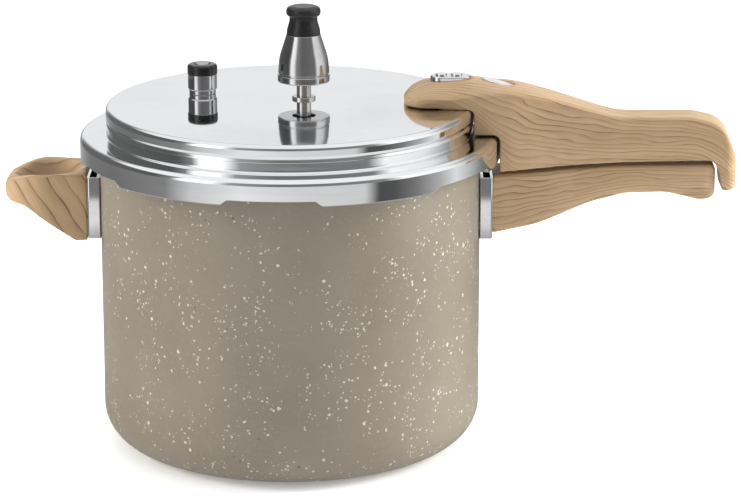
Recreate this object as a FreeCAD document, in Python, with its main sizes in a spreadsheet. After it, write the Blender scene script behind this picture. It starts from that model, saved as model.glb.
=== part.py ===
import FreeCAD, Part
import math
import os
import re
import Sketcher

# Stovetop pressure cooker with a bayonet lid. Millimetres, +Z up. The origin is the middle of
# the pot's base, on the surface it stands on. The long handle points along +X, the helper
# handle along -X.

doc = FreeCAD.newDocument("PressureCooker")

# ---------------------------------------------------------------- driving sizes

SIZES = {
    # pot
    "pot_radius": 113.0,
    "pot_wall": 3.0,
    "base_thickness": 3.6,
    "pot_corner": 23.0,
    "rim_height": 180.0,
    "rim_round": 1.0,
    # bayonet: lugs on the pot, lobes with turned-in lips on the lid
    "lock_count": 6.0,
    "lock_phase": 3.7,
    "lug_reach": 6.0,
    "lug_angle": 22.0,
    "lug_height": 3.0,
    "lug_gap": 0.6,
    "lobe_angle": 35.0,
    "lobe_step": 3.1,
    "lip_height": 2.5,
    "lip_gap": 2.5,
    # lid
    "lid_sheet": 2.5,
    "crown_inset": 4.0,
    "crown_taper": 1.2,
    "crown_height": 16.2,
    "crown_round": 3.0,
    "flange_round": 3.5,
    "skirt_gap": 2.8,
    "skirt_depth": 15.6,
    # gasket
    "gasket_height": 5.1,
    "gasket_lip": 1.5,
    "gasket_web": 3.0,
    "gasket_width": 12.0,
    "seal_gap": 0.2,
    # brackets on the pot
    "bracket_depth": 7.0,
    "bracket_plate": 1.4,
    "bracket_height": 37.0,
    "bracket_drop": 2.0,
    "long_bracket_width": 32.0,
    "short_bracket_width": 30.0,
    "bracket_round": 1.2,
    "rivet_radius": 1.9,
    "rivet_head_radius": 4.6,
    "rivet_head": 1.5,
    "rivet_pitch": 18.0,
    "rivet_seat": 0.15,
    "fit_gap": 0.05,
    # long handle
    "parting_drop": 8.2,
    "parting_rise": 5.6,
    "parting_gap": 2.2,
    "grip_length": 132.2,
    "grip_width": 29.0,
    "grip_end_width": 25.0,
    "lower_root_depth": 36.0,
    "lower_waist_depth": 17.2,
    "lower_end_depth": 22.0,
    "saddle_gap": 0.9,
    "tongue_length": 41.5,
    "tongue_lift": 5.8,
    "tongue_rise": 16.0,
    "tongue_width": 40.0,
    "upper_waist_depth": 26.0,
    "hook_gap": 2.6,
    "hook_thickness": 9.6,
    "hook_drop": 18.4,
    "handle_round": 3.0,
    "bolt_radius": 2.5,
    "bolt_head_radius": 4.5,
    "bolt_head": 1.8,
    "bolt_length": 40.0,
    # fixing of the upper handle
    "strap_height": 3.0,
    "strap_length": 22.0,
    "strap_width": 16.0,
    "strap_inset": 4.0,
    "strap_rivet_pitch": 17.6,
    "plate_length": 24.0,
    "plate_width": 13.0,
    "plate_thickness": 2.6,
    "plate_sink": 1.6,
    "plate_round": 0.8,
    "screw_radius": 1.9,
    "screw_head_radius": 3.4,
    "screw_head": 1.1,
    "screw_pitch": 9.0,
    "badge_length": 19.0,
    "badge_width": 11.0,
    "badge_thickness": 1.2,
    "badge_tilt": 15.5,
    # helper handle
    "helper_reach": 49.6,
    "helper_width": 50.0,
    "helper_root_width": 38.0,
    "helper_drop": 0.6,
    "helper_dish": 5.0,
    # vent pipe and weight
    "vent_across": 8.0,
    "vent_back": 13.0,
    "vent_radius": 4.3,
    "vent_thread": 4.0,
    "vent_bore": 1.2,
    "vent_flange": 7.0,
    "vent_height": 22.0,
    "vent_tail": 9.0,
    "washer_radius": 8.0,
    "washer_thickness": 1.5,
    "nut_height": 4.0,
    "nut_radius": 7.6,
    "weight_clear": 10.5,
    "weight_radius": 15.6,
    "weight_foot": 3.2,
    "weight_groove": 0.9,
    "weight_top_radius": 10.2,
    "weight_height": 28.5,
    "weight_bore": 7.0,
    "seat_height": 7.5,
    "seat_gap": 0.05,
    "knob_height": 17.0,
    "knob_neck": 8.0,
    "knob_bulge": 10.2,
    "stud_radius": 2.5,
    "stud_depth": 9.0,
    # spring safety valve
    "relief_across": 53.0,
    "relief_back": 27.0,
    "relief_radius": 8.7,
    "relief_foot_radius": 8.0,
    "relief_height": 12.0,
    "relief_wall": 2.2,
    "relief_floor": 3.0,
    "relief_thread": 5.0,
    "relief_inlet": 2.4,
    "relief_tail": 8.0,
    "relief_cap_height": 6.0,
    "relief_cap_roof": 2.0,
    "relief_cap_radius": 9.0,
    "relief_cap_hole": 4.7,
    "piston_radius": 6.1,
    "piston_flange": 2.0,
    "piston_stem": 2.2,
    "piston_head_radius": 4.25,
    "piston_proud": 0.4,
    "spring_wire": 0.4,
    "spring_radius": 5.2,
    "spring_turns": 5.0,
}

sheet = doc.addObject("Spreadsheet::Sheet", "Sizes")
for row, (alias, size) in enumerate(SIZES.items(), start=1):
    sheet.set("A%d" % row, alias.replace("_", " "))
    sheet.set("B%d" % row, str(size))
    sheet.setAlias("B%d" % row, alias)
doc.recompute()

# Places that several pieces share, as formulas on the sheet's sizes.
FLANGE_TOP = "(rim_height + gasket_height + 2 * seal_gap + lid_sheet)"
LID_TOP = FLANGE_TOP + " + crown_height"
LID_UNDER = LID_TOP + " - lid_sheet"
LOBE_BOTTOM = FLANGE_TOP + " - skirt_depth"
SKIRT_BOTTOM = LOBE_BOTTOM + " + lobe_step"
SKIRT_RADIUS = "(pot_radius + lug_reach + skirt_gap + lid_sheet)"
CROWN_RADIUS = "(pot_radius - crown_inset)"
PARTING = "(" + LOBE_BOTTOM + " - parting_drop)"
BRACKET_TOP = "(" + PARTING + " - bracket_drop)"
BRACKET_FACE = "(pot_radius + bracket_depth)"
GRIP_END = BRACKET_FACE + " + grip_length"
RIVET_LOW = "(" + BRACKET_TOP + " - bracket_height / 2 - rivet_pitch / 2)"
RIVET_HIGH = "(" + BRACKET_TOP + " - bracket_height / 2 + rivet_pitch / 2)"
BOLT_LINE = "(" + BRACKET_TOP + " - bracket_height / 2)"
TONGUE_TIP = "(" + CROWN_RADIUS + " - tongue_length)"
STRAP_MIDDLE = "(" + CROWN_RADIUS + " - strap_inset - strap_length / 2)"
PLATE_FLOOR = "(" + LID_TOP + " + tongue_rise - plate_sink)"
WEIGHT_BOTTOM = "(" + LID_TOP + " + weight_clear)"
WEIGHT_TOP = "(" + WEIGHT_BOTTOM + " + weight_height)"
SEAT_TOP = "(" + LID_TOP + " + vent_height + seat_gap + seat_height / 2 + 1)"
CAP_TOP = "(" + LID_TOP + " + relief_height + relief_cap_height)"

WORD = re.compile(r"[a-z_]{3,}")
nodes = {}


def on_sheet(match):
    """Point one word of a formula at the sheet, if the sheet has a size of that name."""
    word = match.group(0)
    return "Sizes." + word if word in SIZES else word


def bind(thing, target, formula):
    """Tie a property of an object to a formula on the sheet's sizes."""
    thing.setExpression(target, WORD.sub(on_sheet, formula))


reckoner = doc.addObject("App::FeaturePython", "Reckoner")
reckoner.addProperty("App::PropertyFloat", "Amount")


def amount(formula):
    """The number that a formula on the sheet's sizes has now."""
    bind(reckoner, "Amount", formula)
    reckoner.recompute()
    return reckoner.Amount


# ---------------------------------------------------------------- sketches and features


def new_body(label):
    body = doc.addObject("PartDesign::Body", label)
    body.Label = label
    return body


def origin_part(body, role):
    """One of the body's own origin planes or axes."""
    return [item for item in body.Origin.OriginFeatures if item.Role == role][0]


def new_sketch(body, name, plane, turn=None, lift=None):
    """An empty sketch on an origin plane, turned about Z or lifted off the plane if asked."""
    sketch = body.newObject("Sketcher::SketchObject", name)
    sketch.AttachmentSupport = [(origin_part(body, plane), "")]
    sketch.MapMode = "FlatFace"
    if turn:
        quarter = FreeCAD.Rotation(FreeCAD.Vector(0, 1, 0), 1.0)
        sketch.AttachmentOffset = FreeCAD.Placement(FreeCAD.Vector(), quarter)
        bind(sketch, "AttachmentOffset.Rotation.Angle", turn)
    if lift:
        bind(sketch, "AttachmentOffset.Base.z", lift)
    return sketch


def locate(sketch, geometry, end, across, up):
    """Dimension one point of a sketch from the origin."""
    for kind, formula in (("DistanceX", across), ("DistanceY", up)):
        number = sketch.addConstraint(Sketcher.Constraint(kind, -1, 1, geometry, end, amount(formula)))
        bind(sketch, "Constraints[%d]" % number, formula)


def add_outline(sketch, corners):
    """A closed outline. A corner is (across, up) or, where it is rounded, (across, up, radius)."""
    spots = [FreeCAD.Vector(amount(corner[0]), amount(corner[1]), 0) for corner in corners]
    rounds = [amount(corner[2]) if len(corner) > 2 else 0.0 for corner in corners]
    ways = []
    for index, spot in enumerate(spots):
        way = spots[(index + 1) % len(spots)] - spot
        ways.append(way.normalize())
    setbacks = []
    for index, radius in enumerate(rounds):
        turn = ways[index - 1].getAngle(ways[index])
        setbacks.append(radius * math.tan(turn / 2))
    lines = []
    for index, spot in enumerate(spots):
        after = (index + 1) % len(spots)
        start = spot + ways[index] * setbacks[index]
        stop = spots[after] - ways[index] * setbacks[after]
        lines.append(sketch.addGeometry(Part.LineSegment(start, stop), False))
    for index, corner in enumerate(corners):
        before, after = lines[index - 1], lines[index]
        if rounds[index] == 0:
            sketch.addConstraint(Sketcher.Constraint("Coincident", before, 2, after, 1))
            locate(sketch, after, 1, corner[0], corner[1])
            continue
        point = sketch.addGeometry(Part.Point(spots[index]), True)
        locate(sketch, point, 1, corner[0], corner[1])
        start = spots[index] - ways[index - 1] * setbacks[index]
        stop = spots[index] + ways[index] * setbacks[index]
        inward = (stop - spots[index]) + (start - spots[index])
        reach = (rounds[index] ** 2 + setbacks[index] ** 2) ** 0.5
        middle = spots[index] + inward.normalize() * (reach - rounds[index])
        arc = sketch.addGeometry(Part.Arc(start, middle, stop), False)
        left_turn = ways[index - 1].cross(ways[index]).z > 0
        first, last = (1, 2) if left_turn else (2, 1)
        sketch.addConstraint(Sketcher.Constraint("Tangent", before, 2, arc, first))
        sketch.addConstraint(Sketcher.Constraint("Tangent", arc, last, after, 1))
        sketch.addConstraint(Sketcher.Constraint("PointOnObject", point, 1, before))
        sketch.addConstraint(Sketcher.Constraint("PointOnObject", point, 1, after))
        number = sketch.addConstraint(Sketcher.Constraint("Radius", arc, rounds[index]))
        bind(sketch, "Constraints[%d]" % number, corner[2])


def add_circle(sketch, across, up, radius):
    """A dimensioned circle."""
    centre = FreeCAD.Vector(amount(across), amount(up), 0)
    circle = Part.Circle(centre, FreeCAD.Vector(0, 0, 1), amount(radius))
    geometry = sketch.addGeometry(circle, False)
    locate(sketch, geometry, 3, across, up)
    number = sketch.addConstraint(Sketcher.Constraint("Radius", geometry, amount(radius)))
    bind(sketch, "Constraints[%d]" % number, radius)


def revolve(body, sketch, name, axis="V_Axis", angle=None):
    """Turn a sketch about its own axis, all the way or by an angle halved by its plane."""
    feature = body.newObject("PartDesign::Revolution", name)
    feature.Profile = sketch
    feature.ReferenceAxis = (sketch, [axis])
    if angle:
        feature.Midplane = True
        bind(feature, "Angle", angle)
    else:
        feature.Angle = 360.0
    return feature


def pad(body, sketch, name, length, both_ways=False):
    feature = body.newObject("PartDesign::Pad", name)
    feature.Profile = sketch
    feature.Midplane = both_ways
    bind(feature, "Length", length)
    return feature


def pocket(body, sketch, name, flip=False, both_ways=False):
    """Cut a sketch right through the body."""
    feature = body.newObject("PartDesign::Pocket", name)
    feature.Profile = sketch
    feature.Type = "ThroughAll"
    feature.Midplane = both_ways
    feature.Reversed = flip
    return feature


def repeat_around(body, feature, name):
    """Repeat a feature once for each bayonet lock, about the pot's axis."""
    pattern = body.newObject("PartDesign::PolarPattern", name)
    pattern.Originals = [feature]
    pattern.Axis = (origin_part(body, "Z_Axis"), [""])
    pattern.Angle = 360.0
    bind(pattern, "Occurrences", "lock_count")
    body.Tip = pattern
    return pattern


def round_edges(body, feature, name, radius, wanted):
    """Fillet those edges of a feature that the test picks."""
    doc.recompute()
    names = ["Edge%d" % number for number, edge in enumerate(feature.Shape.Edges, start=1) if wanted(edge)]
    fillet = body.newObject("PartDesign::Fillet", name)
    fillet.Base = (feature, names)
    bind(fillet, "Radius", radius)
    return fillet


def turned(label, corners, across="0", back="0", lift="0"):
    """A piece turned about an upright axis, from the outline of one half."""
    body = new_body(label)
    sketch = new_sketch(body, label + "_outline", "XZ_Plane")
    add_outline(sketch, corners)
    revolve(body, sketch, label + "_turning")
    bind(body, "Placement.Base.x", across)
    bind(body, "Placement.Base.y", back)
    bind(body, "Placement.Base.z", lift)
    return body


def upright_rod(name, radius, across, back, low, high):
    """A plain upright cylinder between two heights."""
    rod = doc.addObject("Part::Cylinder", name)
    bind(rod, "Radius", radius)
    bind(rod, "Height", "%s - (%s)" % (high, low))
    bind(rod, "Placement.Base.x", across)
    bind(rod, "Placement.Base.y", back)
    bind(rod, "Placement.Base.z", low)
    return rod


def level_rod(name, radius, start, stop, height):
    """A plain cylinder along X at a height, in the middle plane."""
    rod = doc.addObject("Part::Cylinder", name)
    rod.Placement = FreeCAD.Placement(FreeCAD.Vector(), FreeCAD.Rotation(FreeCAD.Vector(0, 1, 0), 90.0))
    bind(rod, "Radius", radius)
    bind(rod, "Height", "%s - (%s)" % (stop, start))
    bind(rod, "Placement.Base.x", start)
    bind(rod, "Placement.Base.z", height)
    return rod


def join(label, pieces):
    fused = doc.addObject("Part::MultiFuse", label)
    fused.Shapes = pieces
    fused.Label = label
    return fused


def cut(label, base, tool):
    result = doc.addObject("Part::Cut", label)
    result.Base = base
    result.Tool = tool
    result.Label = label
    return result


def group(label, pieces):
    """Like pieces that share one node, as separate solids."""
    compound = doc.addObject("Part::Compound", label)
    compound.Links = pieces
    compound.Label = label
    return compound


def keep(piece):
    """Note a finished sub-part, which is written to a file of its own."""
    nodes[piece.Label] = piece
    return piece


# ---------------------------------------------------------------- pot

pot = new_body("pot_shell")
pot_outline = new_sketch(pot, "pot_outline", "XZ_Plane")
add_outline(pot_outline, [
    ("0", "0"),
    ("pot_radius", "0", "pot_corner"),
    ("pot_radius", "rim_height", "rim_round"),
    ("pot_radius - pot_wall", "rim_height", "rim_round"),
    ("pot_radius - pot_wall", "base_thickness", "pot_corner - pot_wall"),
    ("0", "base_thickness"),
])
revolve(pot, pot_outline, "pot_drawing")
LUG_BOTTOM = "(" + LOBE_BOTTOM + " + lip_height + lug_gap)"
lug_outline = new_sketch(pot, "lug_outline", "XZ_Plane", turn="0 - lock_phase")
add_outline(lug_outline, [
    ("pot_radius - pot_wall / 2", LUG_BOTTOM),
    ("pot_radius + lug_reach", LUG_BOTTOM, "rim_round"),
    ("pot_radius + lug_reach", LUG_BOTTOM + " + lug_height", "rim_round"),
    ("pot_radius - pot_wall / 2", LUG_BOTTOM + " + lug_height"),
])
lug = revolve(pot, lug_outline, "lug", angle="lug_angle")
repeat_around(pot, lug, "lugs")
for side, flip in (("long", True), ("short", False)):
    holes = new_sketch(pot, side + "_rivet_holes", "YZ_Plane")
    add_circle(holes, "0", RIVET_LOW, "rivet_radius + fit_gap")
    add_circle(holes, "0", RIVET_HIGH, "rivet_radius + fit_gap")
    pocket(pot, holes, side + "_rivet_drilling", flip=flip)
keep(pot)

# ---------------------------------------------------------------- brackets and their rivets


def bracket(label, width, direction):
    """An upright box section of strip, its inner face curved to the pot, for one handle."""
    body = new_body(label)
    edge = new_sketch(body, label + "_plan", "XY_Plane", lift=BRACKET_TOP + " - bracket_height")
    sign = "%d * " % direction
    half = width + " / 2"
    add_outline(edge, [
        (sign + "(pot_radius - bracket_depth)", "0 - " + half),
        (sign + BRACKET_FACE, "0 - " + half, "bracket_round"),
        (sign + BRACKET_FACE, half, "bracket_round"),
        (sign + "(pot_radius - bracket_depth)", half),
    ])
    pad(body, edge, label + "_block", "bracket_height")
    wall = new_sketch(body, label + "_wall_curve", "XY_Plane")
    add_circle(wall, "0", "0", "pot_radius")
    pocket(body, wall, label + "_wall_cut", both_ways=True)
    inside = new_sketch(body, label + "_inside", "XY_Plane")
    half_inside = half + " - bracket_plate"
    add_outline(inside, [
        (sign + "(pot_radius + bracket_plate)", "0 - (" + half_inside + ")"),
        (sign + "(pot_radius + bracket_depth - bracket_plate)", "0 - (" + half_inside + ")"),
        (sign + "(pot_radius + bracket_depth - bracket_plate)", half_inside),
        (sign + "(pot_radius + bracket_plate)", half_inside),
    ])
    pocket(body, inside, label + "_hollow", both_ways=True)
    holes = new_sketch(body, label + "_holes", "YZ_Plane")
    add_circle(holes, "0", RIVET_LOW, "rivet_radius + fit_gap")
    add_circle(holes, "0", BOLT_LINE, "bolt_radius + fit_gap")
    add_circle(holes, "0", RIVET_HIGH, "rivet_radius + fit_gap")
    pocket(body, holes, label + "_drilling", both_ways=True)
    return keep(body)


def wall_rivets(label, direction):
    """Two rivets through the bracket's inner plate and the pot wall, headed on both sides."""
    rivets = []
    for height, tag in ((RIVET_LOW, "low"), (RIVET_HIGH, "high")):
        body = new_body(label + "_" + tag)
        half = new_sketch(body, label + "_" + tag + "_outline", "XZ_Plane")
        sign = "%d * " % direction
        add_outline(half, [
            (sign + "(pot_radius - pot_wall - rivet_seat - rivet_head)", "0"),
            (sign + "(pot_radius - pot_wall - rivet_seat - rivet_head)", "rivet_head_radius - 1", "0.8"),
            (sign + "(pot_radius - pot_wall - rivet_seat)", "rivet_head_radius"),
            (sign + "(pot_radius - pot_wall - rivet_seat)", "rivet_radius"),
            (sign + "(pot_radius + bracket_plate)", "rivet_radius"),
            (sign + "(pot_radius + bracket_plate)", "rivet_head_radius - 1"),
            (sign + "(pot_radius + bracket_plate + rivet_head)", "rivet_head_radius - 1", "0.8"),
            (sign + "(pot_radius + bracket_plate + rivet_head)", "0"),
        ])
        revolve(body, half, label + "_" + tag + "_turning", axis="H_Axis")
        bind(body, "Placement.Base.z", height)
        rivets.append(body)
    return keep(group(label, rivets))


bracket("long_bracket", "long_bracket_width", 1)
wall_rivets("long_bracket_rivets", 1)
bracket("short_bracket", "short_bracket_width", -1)
wall_rivets("short_bracket_rivets", -1)


def handle_bolt(label, direction):
    """A bolt whose head sits inside the bracket and whose shank runs into the handle."""
    body = new_body(label)
    half = new_sketch(body, label + "_outline", "XZ_Plane")
    sign = "%d * " % direction
    head = "(pot_radius + bracket_depth - bracket_plate)"
    add_outline(half, [
        (sign + "(" + head + " - bolt_head)", "0"),
        (sign + "(" + head + " - bolt_head)", "bolt_head_radius", "0.6"),
        (sign + head, "bolt_head_radius"),
        (sign + head, "bolt_radius"),
        (sign + "(" + head + " + bolt_length)", "bolt_radius", "0.8"),
        (sign + "(" + head + " + bolt_length)", "0"),
    ])
    revolve(body, half, label + "_turning", axis="H_Axis")
    bind(body, "Placement.Base.z", BOLT_LINE)
    return keep(body)


handle_bolt("lower_handle_bolt", 1)
bolt_bore_start = "(pot_radius + bracket_depth - 1)"
bolt_bore_stop = "(pot_radius + bracket_depth - bracket_plate + bolt_length + 1)"

# ---------------------------------------------------------------- lower half of the long handle


def grip_at(share):
    """A place along the grip, as a share of its length beyond the bracket."""
    return "(%s + %s * grip_length)" % (BRACKET_FACE, share)


def parting_at(share):
    """Height of the line between the two halves of the long handle."""
    return "(%s + %s * parting_rise)" % (PARTING, share)


def trim_sides(body, label, corners):
    """Cut away what lies outside a plan outline that is symmetric about the middle plane."""
    plan = new_sketch(body, label + "_plan", "XY_Plane")
    far = "2 * pot_radius + grip_length"
    add_outline(plan, [
        ("0 - (" + far + ")", "0 - pot_radius"),
        (far, "0 - pot_radius"),
        (far, "pot_radius"),
        ("0 - (" + far + ")", "pot_radius"),
    ])
    near_side = [(corner[0], "0 - (%s)" % corner[1]) + tuple(corner[2:]) for corner in corners]
    add_outline(plan, near_side + list(reversed(corners)))
    return pocket(body, plan, label + "_side_trim", both_ways=True)


lower = new_body("lower_handle_blank")
lower_side = new_sketch(lower, "lower_handle_side", "XZ_Plane")
add_outline(lower_side, [
    (BRACKET_FACE, PARTING + " - lower_root_depth"),
    (grip_at(0.20), PARTING + " - lower_root_depth + 5.5", "60"),
    (grip_at(0.44), PARTING + " + parting_rise * 0.5 - lower_waist_depth - 3", "60"),
    (grip_at(0.60), parting_at(0.9) + " - lower_waist_depth", "40"),
    (grip_at(0.78), parting_at(1) + " - lower_waist_depth", "30"),
    (grip_at(0.93), parting_at(1) + " - lower_end_depth", "9"),
    (grip_at(1), parting_at(1) + " - lower_end_depth + 1.2", "5"),
    (grip_at(1), parting_at(1) + " - 0.6", "4"),
    (grip_at(0.55), parting_at(0.8), "90"),
    (BRACKET_FACE, PARTING),
])
pad(lower, lower_side, "lower_handle_pad", "long_bracket_width + 4", both_ways=True)
lower_trim = trim_sides(lower, "lower_handle", [
    (BRACKET_FACE, "long_bracket_width / 2"),
    (grip_at(0.2), "grip_width / 2 + 1", "60"),
    (grip_at(0.55), "grip_end_width / 2", "80"),
    (grip_at(1), "grip_width / 2 - 1", "7"),
])


def is_long_rib(shape_low, edge):
    """An edge that runs along a handle rather than across it."""
    box = edge.BoundBox
    return box.XLength > 2.0 * box.YLength and box.XLength > 3.0 and abs(box.YMin + box.YMax) > shape_low


lower_round = round_edges(lower, lower_trim, "lower_handle_rounding", "handle_round",
                          lambda edge: is_long_rib(4.0, edge))
lower_bore = level_rod("lower_handle_bore", "bolt_radius + fit_gap", bolt_bore_start, bolt_bore_stop,
                       BOLT_LINE)
keep(cut("lower_handle", lower, lower_bore))

# ---------------------------------------------------------------- helper handle

helper = new_body("helper_handle_blank")
helper_side = new_sketch(helper, "helper_handle_side", "XZ_Plane")
HELPER_TOP = "(" + BRACKET_TOP + " + helper_drop + 3)"
helper_tip = "0 - (" + BRACKET_FACE + " + helper_reach)"


def helper_at(share):
    """A place along the helper handle, as a share of its reach beyond the bracket."""
    return "0 - (%s + %s * helper_reach)" % (BRACKET_FACE, share)


add_outline(helper_side, [
    (helper_at(0), HELPER_TOP),
    (helper_at(0.62), HELPER_TOP, "30"),
    (helper_at(1), HELPER_TOP + " - 6", "7"),
    (helper_at(1), HELPER_TOP + " - 17.5", "6"),
    (helper_at(0.74), HELPER_TOP + " - 18.5", "14"),
    (helper_at(0.14), BRACKET_TOP + " - bracket_height", "3"),
    (helper_at(0), BRACKET_TOP + " - bracket_height"),
])
pad(helper, helper_side, "helper_handle_pad", "helper_width", both_ways=True)
helper_trim = trim_sides(helper, "helper_handle", [
    (helper_at(1), "helper_width / 2 - 6", "22"),
    (helper_at(0.5), "helper_width / 2", "20"),
    (helper_at(0), "helper_root_width / 2"),
])
dish = doc.addObject("Part::Sphere", "helper_dish_ball")
bind(dish, "Radius", "helper_reach")
bind(dish, "Placement.Base.x", helper_at(0.5))
bind(dish, "Placement.Base.z", HELPER_TOP + " - helper_dish + helper_reach")
helper_bore = level_rod("helper_handle_bore", "bolt_radius + fit_gap",
                        "0 - " + bolt_bore_stop, "0 - " + bolt_bore_start, BOLT_LINE)
keep(cut("helper_handle", helper, join("helper_handle_cuts", [dish, helper_bore])))
handle_bolt("helper_handle_bolt", -1)

# ---------------------------------------------------------------- gasket

GASKET_LOW = "(rim_height + seal_gap)"
GASKET_HIGH = "(rim_height + seal_gap + gasket_height)"
GASKET_OUT = "(pot_radius + lug_reach + skirt_gap - 0.9)"
keep(turned("sealing_gasket", [
    (GASKET_OUT + " - gasket_width", GASKET_LOW),
    (GASKET_OUT, GASKET_LOW, "0.6"),
    (GASKET_OUT, GASKET_HIGH, "0.6"),
    (GASKET_OUT + " - gasket_width", GASKET_HIGH),
    (GASKET_OUT + " - gasket_width", GASKET_HIGH + " - gasket_lip"),
    (GASKET_OUT + " - gasket_web", GASKET_HIGH + " - gasket_lip"),
    (GASKET_OUT + " - gasket_web", GASKET_LOW + " + gasket_lip"),
    (GASKET_OUT + " - gasket_width", GASKET_LOW + " + gasket_lip"),
]))

# ---------------------------------------------------------------- lid

CROWN_FOOT = "(" + CROWN_RADIUS + " - crown_taper)"
lid = new_body("lid_shell")
lid_outline = new_sketch(lid, "lid_outline", "XZ_Plane")
add_outline(lid_outline, [
    ("0", LID_TOP),
    (CROWN_RADIUS, LID_TOP, "crown_round"),
    (CROWN_FOOT, FLANGE_TOP, "crown_round / 2"),
    (SKIRT_RADIUS, FLANGE_TOP, "flange_round"),
    (SKIRT_RADIUS, SKIRT_BOTTOM),
    (SKIRT_RADIUS + " - lid_sheet", SKIRT_BOTTOM),
    (SKIRT_RADIUS + " - lid_sheet", FLANGE_TOP + " - lid_sheet", "flange_round - lid_sheet"),
    (CROWN_FOOT + " - lid_sheet", FLANGE_TOP + " - lid_sheet", "crown_round / 2"),
    (CROWN_RADIUS + " - lid_sheet", LID_UNDER, "0.5"),
    ("0", LID_UNDER),
])
revolve(lid, lid_outline, "lid_spinning")
lobe_outline = new_sketch(lid, "lobe_outline", "XZ_Plane", turn="0 - lock_phase")
add_outline(lobe_outline, [
    ("pot_radius + lip_gap", LOBE_BOTTOM),
    (SKIRT_RADIUS, LOBE_BOTTOM, "rim_round"),
    (SKIRT_RADIUS, SKIRT_BOTTOM + " + rim_round"),
    (SKIRT_RADIUS + " - lid_sheet", SKIRT_BOTTOM + " + rim_round"),
    (SKIRT_RADIUS + " - lid_sheet", LOBE_BOTTOM + " + lip_height"),
    ("pot_radius + lip_gap", LOBE_BOTTOM + " + lip_height"),
])
lobe = revolve(lid, lobe_outline, "lobe", angle="lobe_angle")
repeat_around(lid, lobe, "lobes")
lid_holes = new_sketch(lid, "lid_holes", "XY_Plane")
add_circle(lid_holes, "vent_across", "vent_back", "vent_thread + fit_gap")
add_circle(lid_holes, "0 - relief_across", "relief_back", "relief_thread + fit_gap")
add_circle(lid_holes, STRAP_MIDDLE + " - strap_rivet_pitch / 2", "0", "rivet_radius / 2 + fit_gap")
add_circle(lid_holes, STRAP_MIDDLE + " + strap_rivet_pitch / 2", "0", "rivet_radius / 2 + fit_gap")
pocket(lid, lid_holes, "lid_drilling", flip=True)
keep(lid)

# ---------------------------------------------------------------- strap under the upper handle

strap_plan = [
    (STRAP_MIDDLE + " - strap_length / 2", "0 - strap_width / 2", "2"),
    (STRAP_MIDDLE + " + strap_length / 2", "0 - strap_width / 2", "2"),
    (STRAP_MIDDLE + " + strap_length / 2", "strap_width / 2", "2"),
    (STRAP_MIDDLE + " - strap_length / 2", "strap_width / 2", "2"),
]
strap = new_body("lid_strap")
strap_sketch = new_sketch(strap, "lid_strap_plan", "XY_Plane", lift=LID_TOP)
add_outline(strap_sketch, strap_plan)
pad(strap, strap_sketch, "lid_strap_pad", "strap_height")
strap_holes = new_sketch(strap, "lid_strap_holes", "XY_Plane")
for pitch, radius in (("strap_rivet_pitch", "rivet_radius / 2"), ("screw_pitch", "screw_radius")):
    for sign in ("-", "+"):
        add_circle(strap_holes, "%s %s %s / 2" % (STRAP_MIDDLE, sign, pitch), "0", radius + " + fit_gap")
pocket(strap, strap_holes, "lid_strap_drilling", both_ways=True)
keep(strap)


def strap_rivet(name, across):
    """A small rivet through the strap and the lid, headed above and below."""
    return turned(name, [
        ("0", LID_UNDER + " - rivet_head"),
        ("rivet_radius", LID_UNDER + " - rivet_head", "0.5"),
        ("rivet_radius", LID_UNDER),
        ("rivet_radius / 2", LID_UNDER),
        ("rivet_radius / 2", LID_TOP + " + strap_height"),
        ("rivet_radius * 0.8", LID_TOP + " + strap_height"),
        ("rivet_radius * 0.8", LID_TOP + " + strap_height + rivet_head", "0.5"),
        ("0", LID_TOP + " + strap_height + rivet_head"),
    ], across=across)


keep(group("lid_strap_rivets", [
    strap_rivet("lid_strap_rivet_in", STRAP_MIDDLE + " - strap_rivet_pitch / 2"),
    strap_rivet("lid_strap_rivet_out", STRAP_MIDDLE + " + strap_rivet_pitch / 2"),
]))

# ---------------------------------------------------------------- upper half of the long handle

upper = new_body("upper_handle_blank")
upper_side = new_sketch(upper, "upper_handle_side", "XZ_Plane")
HOOK_INNER = "(" + GRIP_END + " + hook_gap)"
HOOK_OUTER = "(" + HOOK_INNER + " + hook_thickness)"
UPPER_TOP = "(" + parting_at(1) + " + parting_gap + upper_waist_depth)"
add_outline(upper_side, [
    (TONGUE_TIP, LID_TOP + " + tongue_lift"),
    (TONGUE_TIP + " + 26", LID_TOP + " - 1"),
    (CROWN_RADIUS + " - 4", LID_TOP + " - 12"),
    (CROWN_RADIUS + " + 4", parting_at(0) + " + parting_gap"),
    (grip_at(0.55), parting_at(0.8) + " + parting_gap", "90"),
    (grip_at(0.99), parting_at(1) + " + parting_gap", "6"),
    (HOOK_INNER, parting_at(1) + " - 7", "10"),
    (HOOK_INNER + " + 1", parting_at(1) + " + parting_gap - hook_drop", "1"),
    (HOOK_OUTER, parting_at(1) + " + parting_gap - hook_drop", "3"),
    (HOOK_OUTER, parting_at(1) + " + 4", "24"),
    (HOOK_OUTER + " - 8", UPPER_TOP + " - 4", "16"),
    (HOOK_OUTER + " - 25", UPPER_TOP, "30"),
    (grip_at(0.55), UPPER_TOP, "60"),
    (grip_at(0.12), LID_TOP + " + tongue_rise * 0.72", "90"),
    (CROWN_RADIUS + " - 4", LID_TOP + " + tongue_rise", "30"),
    (TONGUE_TIP + " + 4", LID_TOP + " + tongue_rise - 3", "6"),
    (TONGUE_TIP, LID_TOP + " + tongue_lift + 4", "3"),
])
pad(upper, upper_side, "upper_handle_pad", "tongue_width + 4", both_ways=True)
upper_trim = trim_sides(upper, "upper_handle", [
    (TONGUE_TIP, "tongue_width * 0.3", "9"),
    (TONGUE_TIP + " + 9", "tongue_width / 2", "14"),
    (SKIRT_RADIUS + " + 6", "tongue_width / 2", "30"),
    (grip_at(0.3), "grip_width / 2", "40"),
    (grip_at(0.62), "grip_end_width / 2", "80"),
    (HOOK_OUTER, "grip_width / 2 - 2", "7"),
])
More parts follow.
